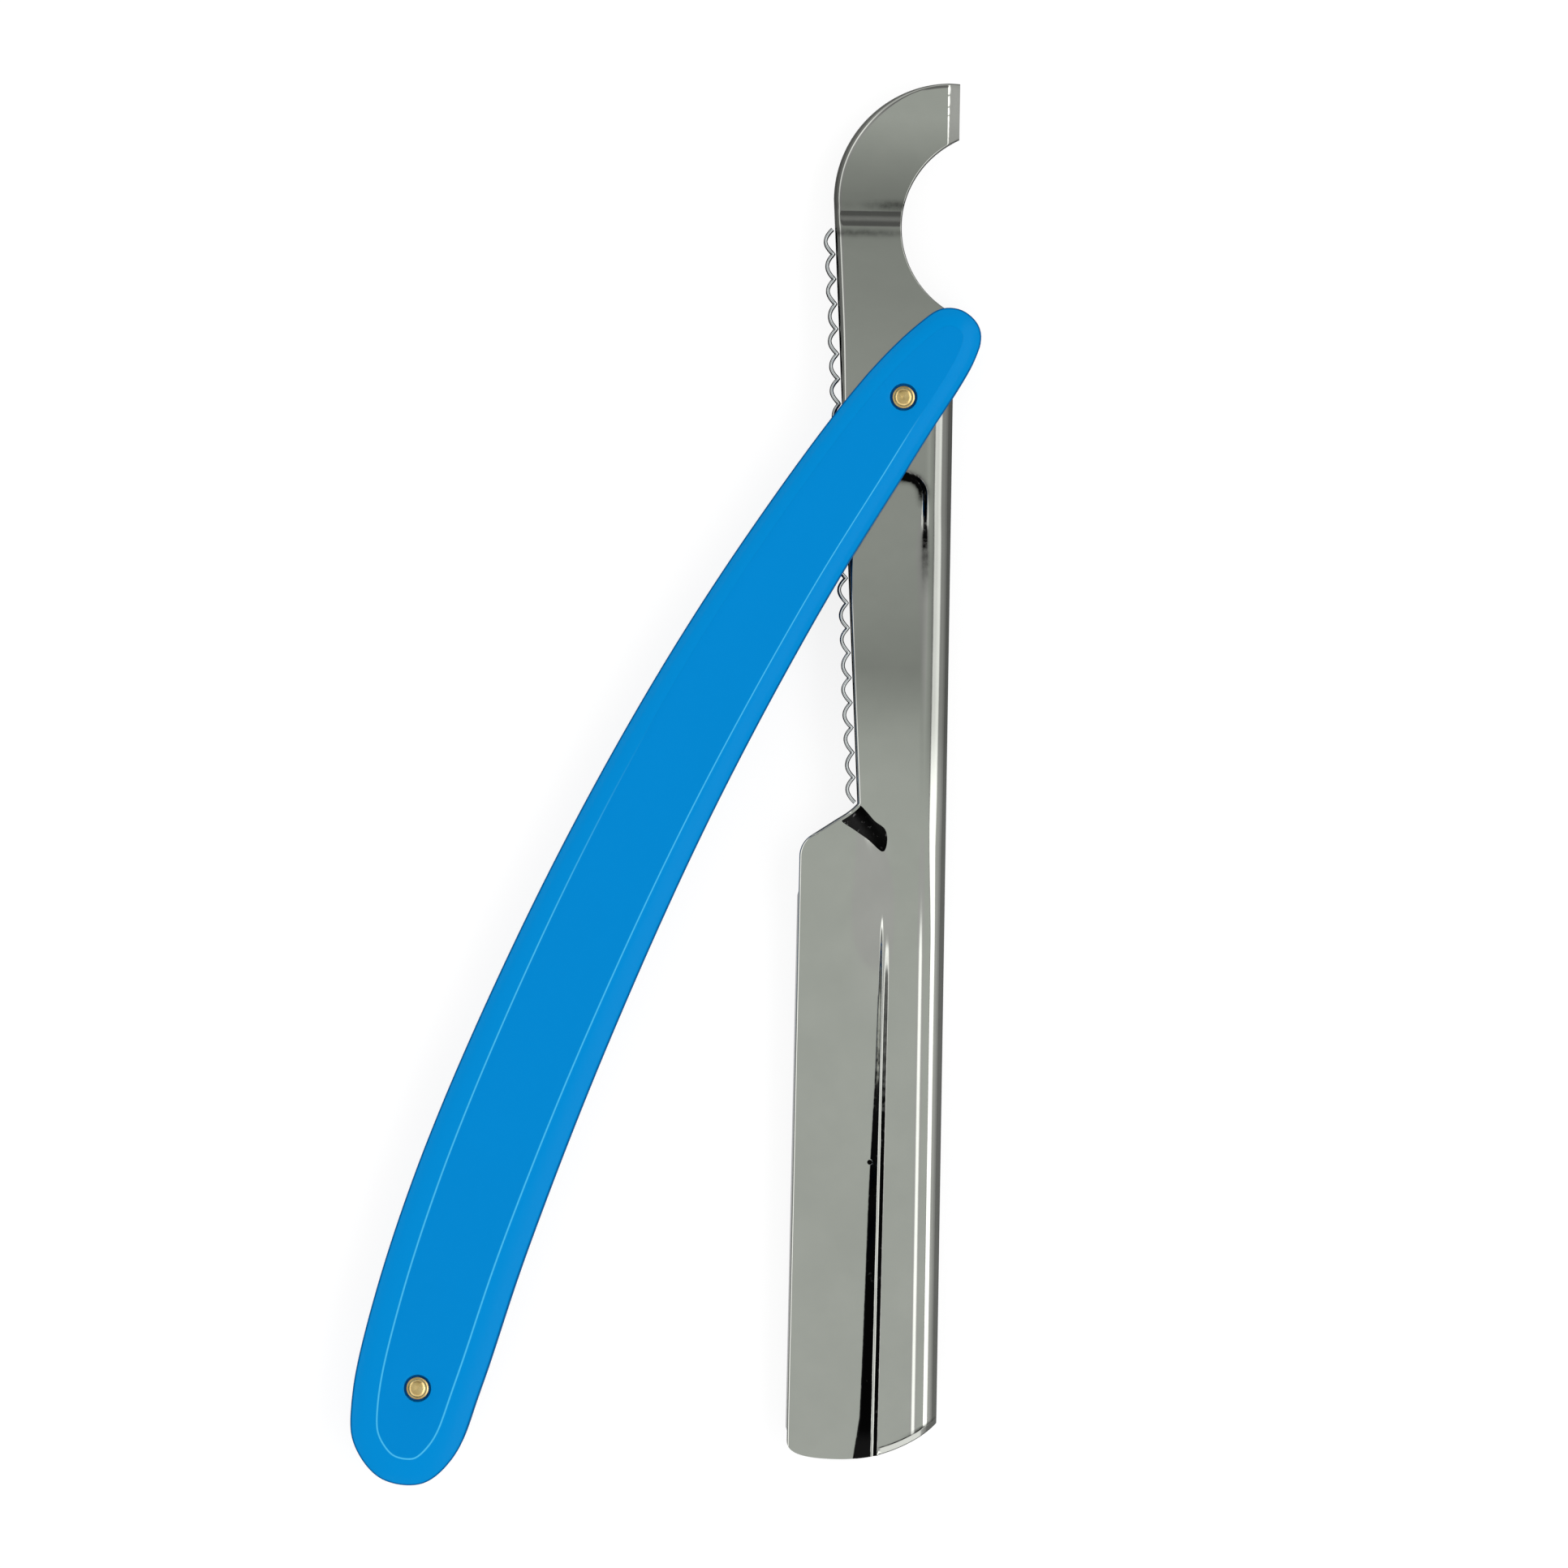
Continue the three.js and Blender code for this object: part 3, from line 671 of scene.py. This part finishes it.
SHOULDER = np.vstack([
    curve([(wall_x(SHOULDER_Y), SHOULDER_Y), (-5.1, SHOULDER_Y - 0.85), (-6.5, SHOULDER_Y - 1.65)]),
    curve([(-9.3, SHOULDER_Y - 3.5), (-10.6, SHOULDER_Y - 4.3), (LEAF_EDGE_TOP_X, LEAF_TOP_Y)]),
])
FREE_END = np.vstack([
    curve([(LEAF_EDGE_END_X, FREE_END_Y + 2), (LEAF_EDGE_END_X, FREE_END_Y + 0.6),
           (-9.4, FREE_END_Y), (-5.2, FREE_END_Y)]),
    curve([(-5.2, FREE_END_Y), (-1.5, FREE_END_Y), (2.6, FREE_END_Y + 1.4),
           (SPINE_X, FREE_END_Y + SPINE_END_RISE)])[1:],
])


def left_x(y):
    """The holder's left edge beside the flat rows."""
    leaf = np.interp(y, [FREE_END_Y + 2, LEAF_TOP_Y], [LEAF_EDGE_END_X, LEAF_EDGE_TOP_X])
    shoulder = np.interp(-y, -SHOULDER[:, 1], SHOULDER[:, 0])
    return np.where(y > SHOULDER_Y, wall_x(y), np.where(y > LEAF_TOP_Y, shoulder, leaf))


def crease_x(y):
    """Crest of the bend where the band drops to the leaf."""
    return CREASE_TOP_X + CREASE_LEAN * np.minimum(y - CREASE_TOP_Y, 0)


def crease_width(y):
    """Width in plan of the crease's dark wall, which flares at the free end."""
    return (0.12 + np.interp(-y, [58, 75, 88, 106, 113, 117.7], [0.12, 0.3, 0.69, 0.95, 1.1, 1.75])
            * smoothstep(-52, -60, y))


def panel_border(x, y):
    """Distance outside the border of the shank's pressed-in panel, and how far up towards its top."""
    right = PANEL_RIGHT_X + 0.4 * smoothstep(-14, -30, y)
    across = x - (right - PANEL_CORNER)
    up = y - (PANEL_TOP_Y - PANEL_CORNER)
    outside = np.hypot(np.maximum(across, 0), np.maximum(up, 0))
    return outside + np.minimum(np.maximum(across, up), 0) - PANEL_CORNER, up


def panel_share(x, y):
    """1 inside the panel. Its border is crisp at the top corner and softer further down."""
    distance, up = panel_border(x, y)
    soft = 0.16 + 1.4 * smoothstep(-10, -18, y) + 0.2 * smoothstep(-2.5, 0.5, up)
    return 1 - smoothstep(-soft, soft, distance)


def panel_shadow(x, y):
    """Painted shade along the panel's border, thickest in its top corner."""
    distance, up = panel_border(x, y)
    wide = 0.17 + 0.25 * smoothstep(-11, -19, y)
    line = np.clip(1.4 * np.exp(-((distance - 0.04) / wide) ** 2), 0, 1) * (1 - smoothstep(-13, -23, y))
    pocket = np.clip(1.5 * np.exp(-((distance + 0.25) / 0.5) ** 2), 0, 1) * smoothstep(-1.6, 0.4, up)
    return np.maximum(0.9 * line, pocket)


def stepped_rise(across, *stretches):
    """A rise made of straight stretches (start, end, share), with their corners a little rounded."""
    total = 0
    for shift in (-0.06, -0.03, 0, 0.03, 0.06):
        for start, end, share in stretches:
            total = total + share * np.clip((across + shift - start) / (end - start), 0, 1) / 5
    return total


def leaf_share(x, y):
    """1 on the leaf, 0 on the band and the shank. The rise between is a soft swell beside the shoulder,
    and two sharp walls with a bright ledge between them further down."""
    across = x - crease_x(y)
    foot = CREASE_FOOT - crease_width(y)
    ledge_end = CREASE_FOOT + LEDGE_WIDTH
    crisp = stepped_rise(across, (foot, CREASE_FOOT, 0.60), (CREASE_FOOT, ledge_end, 0.07),
                         (ledge_end, UPPER_WALL_END, 0.28), (UPPER_WALL_END, 1.2, 0.05))
    soft = smoothstep(-5.0, 2.4, across)
    rise = soft + (crisp - soft) * smoothstep(-56, -70, y)
    start, end = np.array([-4.7, -45.3]), np.array([-0.9, -51.0])
    way = (end - start) / np.linalg.norm(end - start)
    diagonal = (y - start[1]) * way[0] - (x - start[0]) * way[1]
    reach = 0.8 + 1.4 * smoothstep(-47, -51, y)
    return (1 - rise) * (1 - smoothstep(-reach, reach, diagonal))


def crease_shadow(x, y):
    """Painted shade on the two walls of the rise."""
    across = x - crease_x(y)
    foot = CREASE_FOOT - crease_width(y)
    wall = smoothstep(foot - 0.14, foot, across) * (1 - smoothstep(-0.17, -0.11, across))
    upper = smoothstep(0.13, 0.19, across) * (1 - smoothstep(0.5, 0.66, across))
    wall = wall * (0.3 + 0.7 * smoothstep(-64, -84, y))
    upper = upper * (0.4 + 0.6 * smoothstep(-66, -90, y))
    return np.maximum(wall, upper) * smoothstep(-58, -68, y)


def joggle_shadow(x, y):
    """Painted shade on both sides of the joggle."""
    above = np.exp(-((y - JOGGLE_HIGH_Y - 0.4) / 0.55) ** 2) * (0.1 + 0.45 * smoothstep(-6, 0, x))
    below = np.exp(-((y - JOGGLE_LOW_Y + 0.5) / 0.4) ** 2) * (0.4 - 0.15 * smoothstep(-6, 0, x))
    return above + below


def end_lines(x, y):
    """Thin lines of painted shade on both sides of the free end's bevel."""
    to_end = y - end_y(x)
    outer = np.exp(-(to_end / 0.07) ** 2)
    inner = 0.8 * np.exp(-((to_end - END_BEVEL - 0.05) / 0.07) ** 2)
    return np.maximum(outer, inner) * smoothstep(-1.2, -0.4, x) * (y < FREE_END_Y + 8)


def painted_dimming_amount(x, y):
    """How much darker the steel is painted along the shank and the hook, and on the shank's spine: painted
    shade and painted reflections.
    """
    places = [-43, -38, -30, -24, -17, 2, 12, 16, 22.5, 26, 31]
    bright = np.interp(y, places, [1, 0.90, 0.57, 0.66, 0.72, 0.72, 0.65, 0.64, 0.51, 0.66, 0.92])
    spine = np.interp(x, [2.4, 3.0, 3.5, 3.9, 4.3, 4.8], [0.7, 0.85, 0.6, 0.45, 0.6, 0.68])
    spine = 1 - (1 - spine) * smoothstep(-48, -34, y)
    on_spine = smoothstep(2.2, 2.9, x) * (1 - smoothstep(0, 8, y))
    return 1 - bright - (spine - bright) * on_spine


def end_y(x):
    return np.interp(x, FREE_END[:, 0], FREE_END[:, 1])


def face_height(x, y):
    """Height of the front face above the razor's middle plane."""
    height = SHANK_HALF + (HOOK_HALF - SHANK_HALF) * smoothstep(JOGGLE_LOW_Y, JOGGLE_HIGH_Y, y)
    lip = np.maximum(x - (TIP_X - LIP_WIDTH), 0) * (y > 25)
    height = height - LIP_SLOPE * lip
    panel = PANEL_HALF + (PANEL_LOW_HALF - PANEL_HALF) * np.clip((-14 - y) / 31, 0, 1)
    height = height - (SHANK_HALF - panel) * panel_share(x, y)
    swell = smoothstep(SHOULDER_Y + 2, SHOULDER_Y - 18, y)
    spine = smoothstep(SPINE_RISE_START_X, SPINE_RISE_END_X, x)
    height = height + swell * (1 - spine) * (BAND_HALF - panel)
    height = height + swell * spine * (SPINE_HALF - SHANK_HALF)
    height = height + (LEAF_HALF - height) * leaf_share(x, y)
    to_end = y - end_y(x)
    bevel = np.clip(1 - to_end / END_BEVEL, 0, 1) * smoothstep(-1.2, -0.4, x)
    return height - 0.5 * END_BEVEL * bevel


# Columns of one row, as shares of its five stretches: leaf, crease, band, rise and spine top.
LEAF_SHARES = np.concatenate([[0, 0.004, 0.01, 0.017, 0.025, 0.034, 0.05], np.linspace(0.08, 1, 22)])
CREASE_SHARES = np.linspace(0, 1, 37)[1:]
BAND_SHARES = np.linspace(0, 1, 13)[1:]
RISE_SHARES = np.linspace(0, 1, 12)[1:]
TOP_SHARES = np.linspace(0, 1, 4)[1:]
ARC_STEPS = 16
WALL_STEPS = 7


def row_stations(left, right, round_left, round_right, flatness, end_share):
    """Distances along a row of its five stretches' ends. Flatness is 0 at the hook and 1 on flat rows."""
    width = np.linalg.norm(right - left)
    first, last = round_left, width - round_right
    shares = first + (last - first) * np.array([0.38, 0.58, 0.885, 0.955])
    x, y = left
    y = bend_to_end(np.array([[CREASE_END_X, y]]), end_share)[0, 1]
    crest = crease_x(y)
    places = np.array([crest - crease_width(y) - 0.4, crest + 0.75, 2.1, 0]) - x
    places[3] = min(3.45 - x, last - 0.06)
    places[2] = min(places[2], places[3] - 0.6)
    middle = shares * (1 - flatness) + places * flatness
    return [first, *middle, last]


def row_points(left, right, round_left, round_right, flatness, end_share):
    """Front half of one row, from the left edge of its face round to the spine's outermost line."""
    way = (right - left) / np.linalg.norm(right - left)
    stations = row_stations(left, right, round_left, round_right, flatness, end_share)
    stretches = (LEAF_SHARES, CREASE_SHARES, BAND_SHARES, RISE_SHARES, TOP_SHARES)
    along = np.concatenate([start + (end - start) * shares
                            for start, end, shares in zip(stations, stations[1:], stretches)])
    plan = left + along[:, None] * way
    plan = bend_to_end(plan, end_share)
    height = face_height(plan[:, 0], plan[:, 1])
    curl = np.clip(1 - (along - round_left) / EDGE_CURL_WIDTH, 0, 1) ** 2
    height = height - EDGE_CURL * curl * (1 - smoothstep(0.0, 0.5, round_left))
    corner = min(round_right, SPINE_RADIUS, height[-1] - 0.08)
    points = [(*p, h) for p, h in zip(plan, height)]
    base = left + stations[-1] * way
    for step in range(1, ARC_STEPS + 1):
        turn = math.pi / 2 * (1 - step / ARC_STEPS)
        spot = bend_to_end((base + round_right * math.cos(turn) * way)[None, :], end_share)[0]
        points.append((*spot, height[-1] - corner + corner * math.sin(turn)))
    spot = bend_to_end((base + round_right * way)[None, :], end_share)[0]
    points.append((*spot, (height[-1] - corner) / 2))
    points.append((*spot, 0.0))
    return np.array(points)


END_START_Y = FREE_END_Y + 13


def bend_to_end(plan, end_share):
    """Draws flat rows down to the curved free end."""
    if end_share <= 0:
        return plan
    moved = plan.copy()
    moved[:, 1] = END_START_Y + (end_y(plan[:, 0]) - END_START_Y) * end_share
    return moved


def wall_points(row, left, way, radius):
    """The side wall of one row, from the front face's left edge over the wall to the rear face's."""
    height = row[0][2]
    points = []
    for step in range(1, WALL_STEPS + 1):
        turn = math.pi / 2 * step / WALL_STEPS
        spot = left + (radius - radius * math.sin(turn)) * way
        points.append((*spot, height - radius + radius * math.cos(turn)))
    middle = (*left, 0.0)
    mirrored = [(x, y, -z) for x, y, z in reversed(points)]
    return [*points, middle, *mirrored]


def hook_edges(share):
    """Left and right ends of a slanted row: share 0 at the tip, 4 where rows run straight across."""
    tip_turn = math.acos((TIP_X - HOOK_CENTRE[0]) / HOOK_RADIUS)
    spine_turn = math.acos((SPINE_X - REST_CENTRE[0]) / REST_RADIUS)
    rest_tip = math.acos((TIP_X - REST_CENTRE[0]) / REST_RADIUS)
    rest_end = REST_CENTRE[1] - REST_RADIUS * math.sin(spine_turn)
    if share < 2:
        turn = tip_turn + (math.pi - tip_turn) * share / 2
        left = HOOK_CENTRE + HOOK_RADIUS * np.array([math.cos(turn), math.sin(turn)])
    else:
        y = HOOK_CENTRE[1] + (rest_end - HOOK_CENTRE[1]) * (share - 2) / 2
        left = np.array([wall_x(y), y])
    turns = [rest_tip, math.radians(141), math.radians(178), math.radians(207), 2 * math.pi - spine_turn]
    turn = np.interp(share, range(5), turns)
    right = REST_CENTRE + REST_RADIUS * np.array([math.cos(turn), math.sin(turn)])
    return left, right


def holder_rows():
    """Every row from the tip to the free end, as (left, right, roundings, flatness, end share)."""
    rows = []
    shares = np.concatenate([np.arange(0, 0.5, 0.02), np.arange(0.5, 1.6, 0.04),
                             np.arange(1.6, 2.9, 0.02), np.arange(2.9, 4, 0.06)])
    for share in shares:
        left, right = hook_edges(share)
        round_left = 0.3 + 0.7 * smoothstep(0.2, 1.2, share)
        rows.append((left, right, round_left, REST_ROUND, 0.0, 0.0))
    top = hook_edges(4)[0][1]
    stretches = [(top, -6.5, 16), (-6.5, -11.5, 24), (-11.5, -43.5, 40), (-43.5, -52, 56), (-52, -64, 36),
                 (-64, END_START_Y, 60)]
    for start, end, count in stretches:
        for y in np.linspace(start, end, count, endpoint=False):
            left, right = np.array([float(left_x(y)), y]), np.array([SPINE_X, y])
            round_left = WALL_ROUND + (1.0 - WALL_ROUND) * smoothstep(-6, 9, y)
            round_left *= 1 - smoothstep(WALL_END_Y + 0.9, WALL_END_Y, y)
            nose = SHANK_NOSE + (SPINE_RADIUS - SHANK_NOSE) * smoothstep(SHOULDER_Y, SHOULDER_Y - 16, y)
            round_right = REST_ROUND + (nose - REST_ROUND) * smoothstep(top, top - 3.5, y)
            flatness = smoothstep(top, top - 7, y)
            rows.append((left, right, float(round_left), float(round_right), float(flatness), 0.0))
    for share in np.concatenate([np.linspace(0, 0.92, 26), np.linspace(0.925, 1, 16)]):
        left = np.array([LEAF_EDGE_END_X + 0.04 * (1 - share), END_START_Y])
        rows.append((left, np.array([SPINE_X, END_START_Y]), 0.0, SPINE_RADIUS, 1.0, max(share, 1e-6)))
    return rows


def shell_sheet():
    """The folded sheet before it is pierced, with the painted shade and painted darkening of each place as
    vertex values.
    """
    points, faces, grid, walls = [], [], [], []
    for left, right, round_left, round_right, flatness, end_share in holder_rows():
        front = row_points(left, right, round_left, round_right, flatness, end_share)
        rear = front[-2::-1] * np.array([1, 1, -1])
        ring = [*front, *rear]
        grid.append(range(len(points), len(points) + len(ring)))
        points += [(x, y, MID + z) for x, y, z in ring]
        if left[1] > WALL_END_Y and end_share == 0:
            way = (right - left) / np.linalg.norm(right - left)
            wall = wall_points(front, left, way, max(round_left, 0.05))
            walls.append(range(len(points), len(points) + len(wall)))
            points += [(x, y, MID + z) for x, y, z in wall]
    for one, two in zip(grid, grid[1:]):
        for i in range(len(one) - 1):
            faces.append((one[i], two[i], two[i + 1], one[i + 1]))
    for row in range(len(walls) - 1):
        one = [grid[row][0], *walls[row], grid[row][-1]]
        two = [grid[row + 1][0], *walls[row + 1], grid[row + 1][-1]]
        for i in range(len(one) - 1):
            faces.append((one[i + 1], two[i + 1], two[i], one[i]))
    piece = mesh_piece("steel_holder", points, faces, STEEL, RAW_IN_PAINTED_SHADE)
    face_outward(piece)
    x, y, _ = np.array([vertex.co for vertex in piece.data.vertices]).T / MM
    # Painted shade in the crease, along the panel's border, at the joggle and along the free end's bevel.
    vertex_values(piece, "painted_shade", np.maximum.reduce([crease_shadow(x, y), panel_shadow(x, y),
                                                       joggle_shadow(x, y), end_lines(x, y)]))
    # Painted darkening of the steel's reflections along the shank, the hook and the spine.
    vertex_values(piece, "painted_dimming", painted_dimming_amount(x, y))
    thickness = piece.modifiers.new("sheet", "SOLIDIFY")
    thickness.thickness = SHEET * MM
    thickness.offset = -1
    # The inner faces take the steel painted nearly black as shade.
    thickness.material_offset = 1
    thickness.material_offset_rim = 0
    apply_modifiers(piece)
    return piece


def holder_shell():
    """The sheet with its relief hole, the piercing beside the nib, and the bore for the pin."""
    piece = shell_sheet()
    relief = [(-4.2, -0.2), (-5.2, -1.2), (-6.1, -1.9), (-4.7, -2.9), (-3.1, -4.0), (-1.5, -5.3),
              (-1.0, -4.2), (-1.25, -2.8), (-2.4, -1.9), (-3.4, -0.8)]
    cut(piece, smooth_closed([(x, SHOULDER_Y + y) for x, y in relief], 60), MID + 0.05, MID + 4)
    nib_y = (blade_low.y + blade_high.y) / 2
    cut(piece, circle(0.28, float(crease_x(nib_y)) - 1.0, nib_y, 20), MID + 0.05, MID + 4)
    cut(piece, circle(BORE_RADIUS, PIVOT.x, PIVOT.y), MID - 4, MID + 4)
    shade(piece, 24, recalculate=False)
    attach(piece, "holder")
    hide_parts("holder_shell")


def face_outward(piece):
    """Turns every face of the open sheet the same way, out of the holder."""
    mesh = bmesh.new()
    mesh.from_mesh(piece.data)
    bmesh.ops.remove_doubles(mesh, verts=mesh.verts, dist=1e-7)
    highest = max(mesh.faces, key=lambda f: f.calc_center_median().z)
    bmesh.ops.recalc_face_normals(mesh, faces=mesh.faces)
    if highest.normal.z < 0:
        bmesh.ops.reverse_faces(mesh, faces=mesh.faces)
    mesh.to_mesh(piece.data)
    mesh.free()


# ---------------------------------------------------------------- corrugated finger grip

TEETH = 23
RIBBON = 0.42
TOOTH_DEPTH = 0.77
TOOTH_POINTS = 20


def finger_grip():
    """A thin ribbon pressed into pointed waves, held against the side wall."""
    top, bottom = strip_high.y, strip_low.y
    half = (strip_high.z - strip_low.z) / 2
    last = TEETH * TOOTH_POINTS
    line = []
    for step in range(last + 1):
        y = top + (bottom - top) * step / last
        phase = 2 * math.pi * step / TOOTH_POINTS
        wave = abs(math.sin(phase / 2)) ** 0.9
        uneven = 1 + 0.10 * math.sin(2.3 * step / TOOTH_POINTS) * math.cos(0.9 * step / TOOTH_POINTS)
        line.append((wall_x(y) - 0.06 - RIBBON / 2 - TOOTH_DEPTH * wave * uneven, y))
    line = np.array(line)
    along = np.gradient(line, axis=0)
    normal = np.column_stack([along[:, 1], -along[:, 0]]) / np.linalg.norm(along, axis=1)[:, None]
    soft = 0.3 * RIBBON
    quarter = [(-RIBBON / 2, half - soft), (soft - RIBBON / 2, half - 0.3 * soft), (0.0, half),
               (RIBBON / 2 - soft, half - 0.3 * soft), (RIBBON / 2, half - soft)]
    section = quarter[::-1] + [(out, -up) for out, up in quarter]
    # Painted shade along the ribbon's two rounded sides.
    painted_edge_shade = [0.95, 0.25, 0.0, 0.25, 0.95]
    points, faces = [], []
    for spot, side in zip(line, normal):
        for out, up in section:
            points.append((*(spot + out * side), MID + up))
    count = len(section)
    for row in range(last):
        for i in range(count):
            after = (i + 1) % count
            one, two = row * count, (row + 1) * count
            faces.append((one + i, one + after, two + after, two + i))
    faces.append(tuple(range(count)))
    faces.append(tuple(range(last * count, last * count + count))[::-1])
    piece = mesh_piece("corrugated_finger_grip", points, faces, GRIP)
    vertex_values(piece, "painted_shade", painted_edge_shade * 2 * (last + 1))
    shade(piece, 50)
    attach(piece, "holder")
    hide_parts("finger_grip_strip")


# ---------------------------------------------------------------- blade

def blade_piece():
    """Single-edged blade: a thin plate with rounded corners, a notched back and a ground edge."""
    low, high = blade_low, blade_high
    half = (high.z - low.z) / 2
    ground = 0.8
    corner = 0.5
    notch_deep, notch_wide = 2.6, 2.4
    radius = notch_wide / 2
    middle = (low.y + high.y) / 2
    notch_stations = np.linspace(middle - radius, middle + radius, 17)
    stations = sorted({*np.linspace(low.y, high.y, 41), *notch_stations})
    points, faces, rows, marks = [], [], [], []
    lean = (LEAF_EDGE_TOP_X - LEAF_EDGE_END_X) / (LEAF_TOP_Y - (FREE_END_Y + 2))
    lean_half = lean * (high.y - low.y) / 2
    for y in stations:
        to_end = min(y - low.y, high.y - y)
        pull = corner - math.sqrt(max(corner ** 2 - max(corner - to_end, 0) ** 2, 0))
        shift = lean * (y - middle)
        back = high.x - lean_half + shift - pull
        off = abs(y - middle)
        if off < radius:
            back = high.x - lean_half - notch_deep + radius - math.sqrt(max(radius ** 2 - off ** 2, 0))
        edge = low.x + lean_half + shift + pull
        row = [(edge, 0.0, 1), (edge + 0.3 * ground, 0.45 * half, 1), (edge + ground, half, 1),
               (edge + ground + 0.05, half, 0), (back - 0.05, half, 0), (back, half * 0.5, 0)]
        full = row + [(x, -z, mark) for x, z, mark in reversed(row[1:])]
        rows.append(range(len(points), len(points) + len(full)))
        points += [(x, y, MID + z) for x, z, _ in full]
        marks += [mark for _, _, mark in full]
    for one, two in zip(rows, rows[1:]):
        count = len(one)
        for i in range(count):
            after = (i + 1) % count
            faces.append((one[i], one[after], two[after], two[i]))
    faces += [tuple(rows[0]), tuple(rows[-1])[::-1]]
    piece = mesh_piece("long_blade", points, faces, BLADE)
    vertex_values(piece, "ground", marks)
    shade(piece, 20)
    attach(piece, "blade")
    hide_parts("razor_blade")


# ---------------------------------------------------------------- stage

def world_light():
    """A soft studio: an even card overhead, lit panels either side, and darker gaps between them."""
    world = bpy.data.worlds.new("studio")
    scene.world = world
    world.use_nodes = True
    nodes = Nodes(world.node_tree)
    place = nodes.add("ShaderNodeTexCoord")
    split = nodes.add("ShaderNodeSeparateXYZ")
    nodes.link(place.outputs["Generated"], split.inputs[0])
    x, y, z = split.outputs
    tilt_x = nodes.math("ARCTAN2", x, z)
    tilt_y = nodes.math("ARCTAN2", y, z)

    def spread(tilt):
        return nodes.math("MULTIPLY_ADD", tilt, 1 / math.pi, 0.5, clamp=True)

    def stops(pairs):
        return [((degrees + 90) / 180, value) for degrees, value in pairs]

    side = nodes.ramp(spread(tilt_x), stops([
        (-90, 0.45), (-75, 0.30), (-60, 0.35), (-54, 1.8), (-44, 1.8), (-39, 0.75), (-34, 0.58),
        (-17, 0.57), (17, 0.57), (18, 0.3), (20, 0.3), (23, 2.2), (47, 2.2), (52, 0.6), (72, 0.5),
        (78, 0.4), (90, 0.35)]))
    length = nodes.ramp(spread(tilt_y), stops([
        (-90, 0.4), (-66, 0.5), (-62, 1.2), (-42, 1.2), (-36, 0.57), (-17, 0.57), (17, 0.57),
        (23, 0.22), (40, 0.22), (48, 0.7), (62, 0.7), (90, 0.4)]))
    reach_x = nodes.math("ABSOLUTE", x)
    reach_y = nodes.math("ABSOLUTE", y)
    which = nodes.math("SUBTRACT", reach_y, reach_x)
    which = nodes.math("MULTIPLY_ADD", which, 4.0, 0.3, clamp=True)
    around = nodes.mix(which, side, length)
    along = nodes.math("MULTIPLY_ADD", y, 1 / 0.16, 0.5, clamp=True)
    card = nodes.ramp(along, [
        (0.0, (0.595, 0.612, 0.595)), (0.3, (0.578, 0.598, 0.578)), (0.5, (0.57, 0.592, 0.568)),
        (1.0, (0.565, 0.588, 0.562))])
    squares = nodes.math("ADD", nodes.math("MULTIPLY", x, x), nodes.math("MULTIPLY", y, y))
    away = nodes.math("SQRT", squares)
    over = nodes.math("MULTIPLY_ADD", away, -1 / 0.03, 0.31 / 0.03, clamp=True)
    upward = nodes.math("GREATER_THAN", z, 0.0)
    over = nodes.math("MULTIPLY", over, upward)
    sky = nodes.mix(over, around, card)
    background = nodes.add("ShaderNodeBackground")
    nodes.link(sky, background.inputs["Color"])
    output = nodes.add("ShaderNodeOutputWorld")
    nodes.link(background.outputs[0], output.inputs["Surface"])
    world.cycles.sampling_method = "MANUAL"
    world.cycles.sample_map_resolution = 1024


def floor():
    """Paper that looks white, but is only dimly lit in the steel's reflections."""
    material, nodes, shader = new_material("pale_floor", roughness=0.9)
    shader.inputs["Emission Color"].default_value = (1, 1, 1, 1)
    shader.inputs["Specular IOR Level"].default_value = 0.0
    paper = nodes.noise(60, detail=2)
    nodes.link(nodes.mix(paper, grey(0.24), grey(0.26)), shader.inputs["Base Color"])
    seen = nodes.add("ShaderNodeLightPath").outputs["Is Camera Ray"]
    nodes.link(nodes.math("MULTIPLY", seen, 0.85), shader.inputs["Emission Strength"])
    reach = 1500
    corners = [(-reach, -reach, 0), (reach, -reach, 0), (reach, reach, 0), (-reach, reach, 0)]
    piece = mesh_piece("floor", corners, [(0, 1, 2, 3)], material)


def camera():
    """From straight above, with the holder almost upright in the picture."""
    data = bpy.data.cameras.new("camera")
    piece = bpy.data.objects.new("camera", data)
    scene.collection.objects.link(piece)
    scene.camera = piece
    distance = 1.2
    view_width = 0.1739
    aside = Vector((12.9, 0.15, 0))
    roll_degrees = 0.93
    data.sensor_width = 36
    data.lens = data.sensor_width * distance / view_width
    data.clip_start = 0.05
    centre = (cad_low + cad_high) / 2
    aim = centre + aside * MM
    piece.location = (aim.x, aim.y, MID * MM + distance)
    piece.rotation_euler = (0, 0, math.radians(roll_degrees))


# ---------------------------------------------------------------- assembly

camera()
world_light()
floor()
scene.view_settings.view_transform = "Standard"

scale_piece("front_handle_scale", "front_scale", True)
scale_piece("rear_handle_scale", "rear_scale", False)
turned_pin("brass_pivot_pin", "pivot_pin", PIVOT)
turned_pin("brass_tail_pin", "tail_pin", TAIL)
for pin in ("pivot", "tail"):
    for side in ("front", "rear"):
        turned_ring(f"brass_{pin}_collar_{side}", f"{pin}_collar_{side}", COLLAR_RADIUS, "handle", BRASS,
                    cup=0.1)
for side in ("front", "rear"):
    washer_low, washer_high = box_mm(f"pivot_washer_{side}")
    turned_ring(f"thin_washer_{side}", f"pivot_washer_{side}", (washer_high.x - washer_low.x) / 2, "handle",
                WASHER)
bush_low, bush_high = box_mm("pivot_bush")
turned_ring("bush_tube", "pivot_bush", (bush_high.x - bush_low.x) / 2, "holder", BRASS)
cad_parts["tail_spacer"].data.materials.clear()
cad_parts["tail_spacer"].data.materials.append(SPACER)
holder_shell()
finger_grip()
blade_piece()
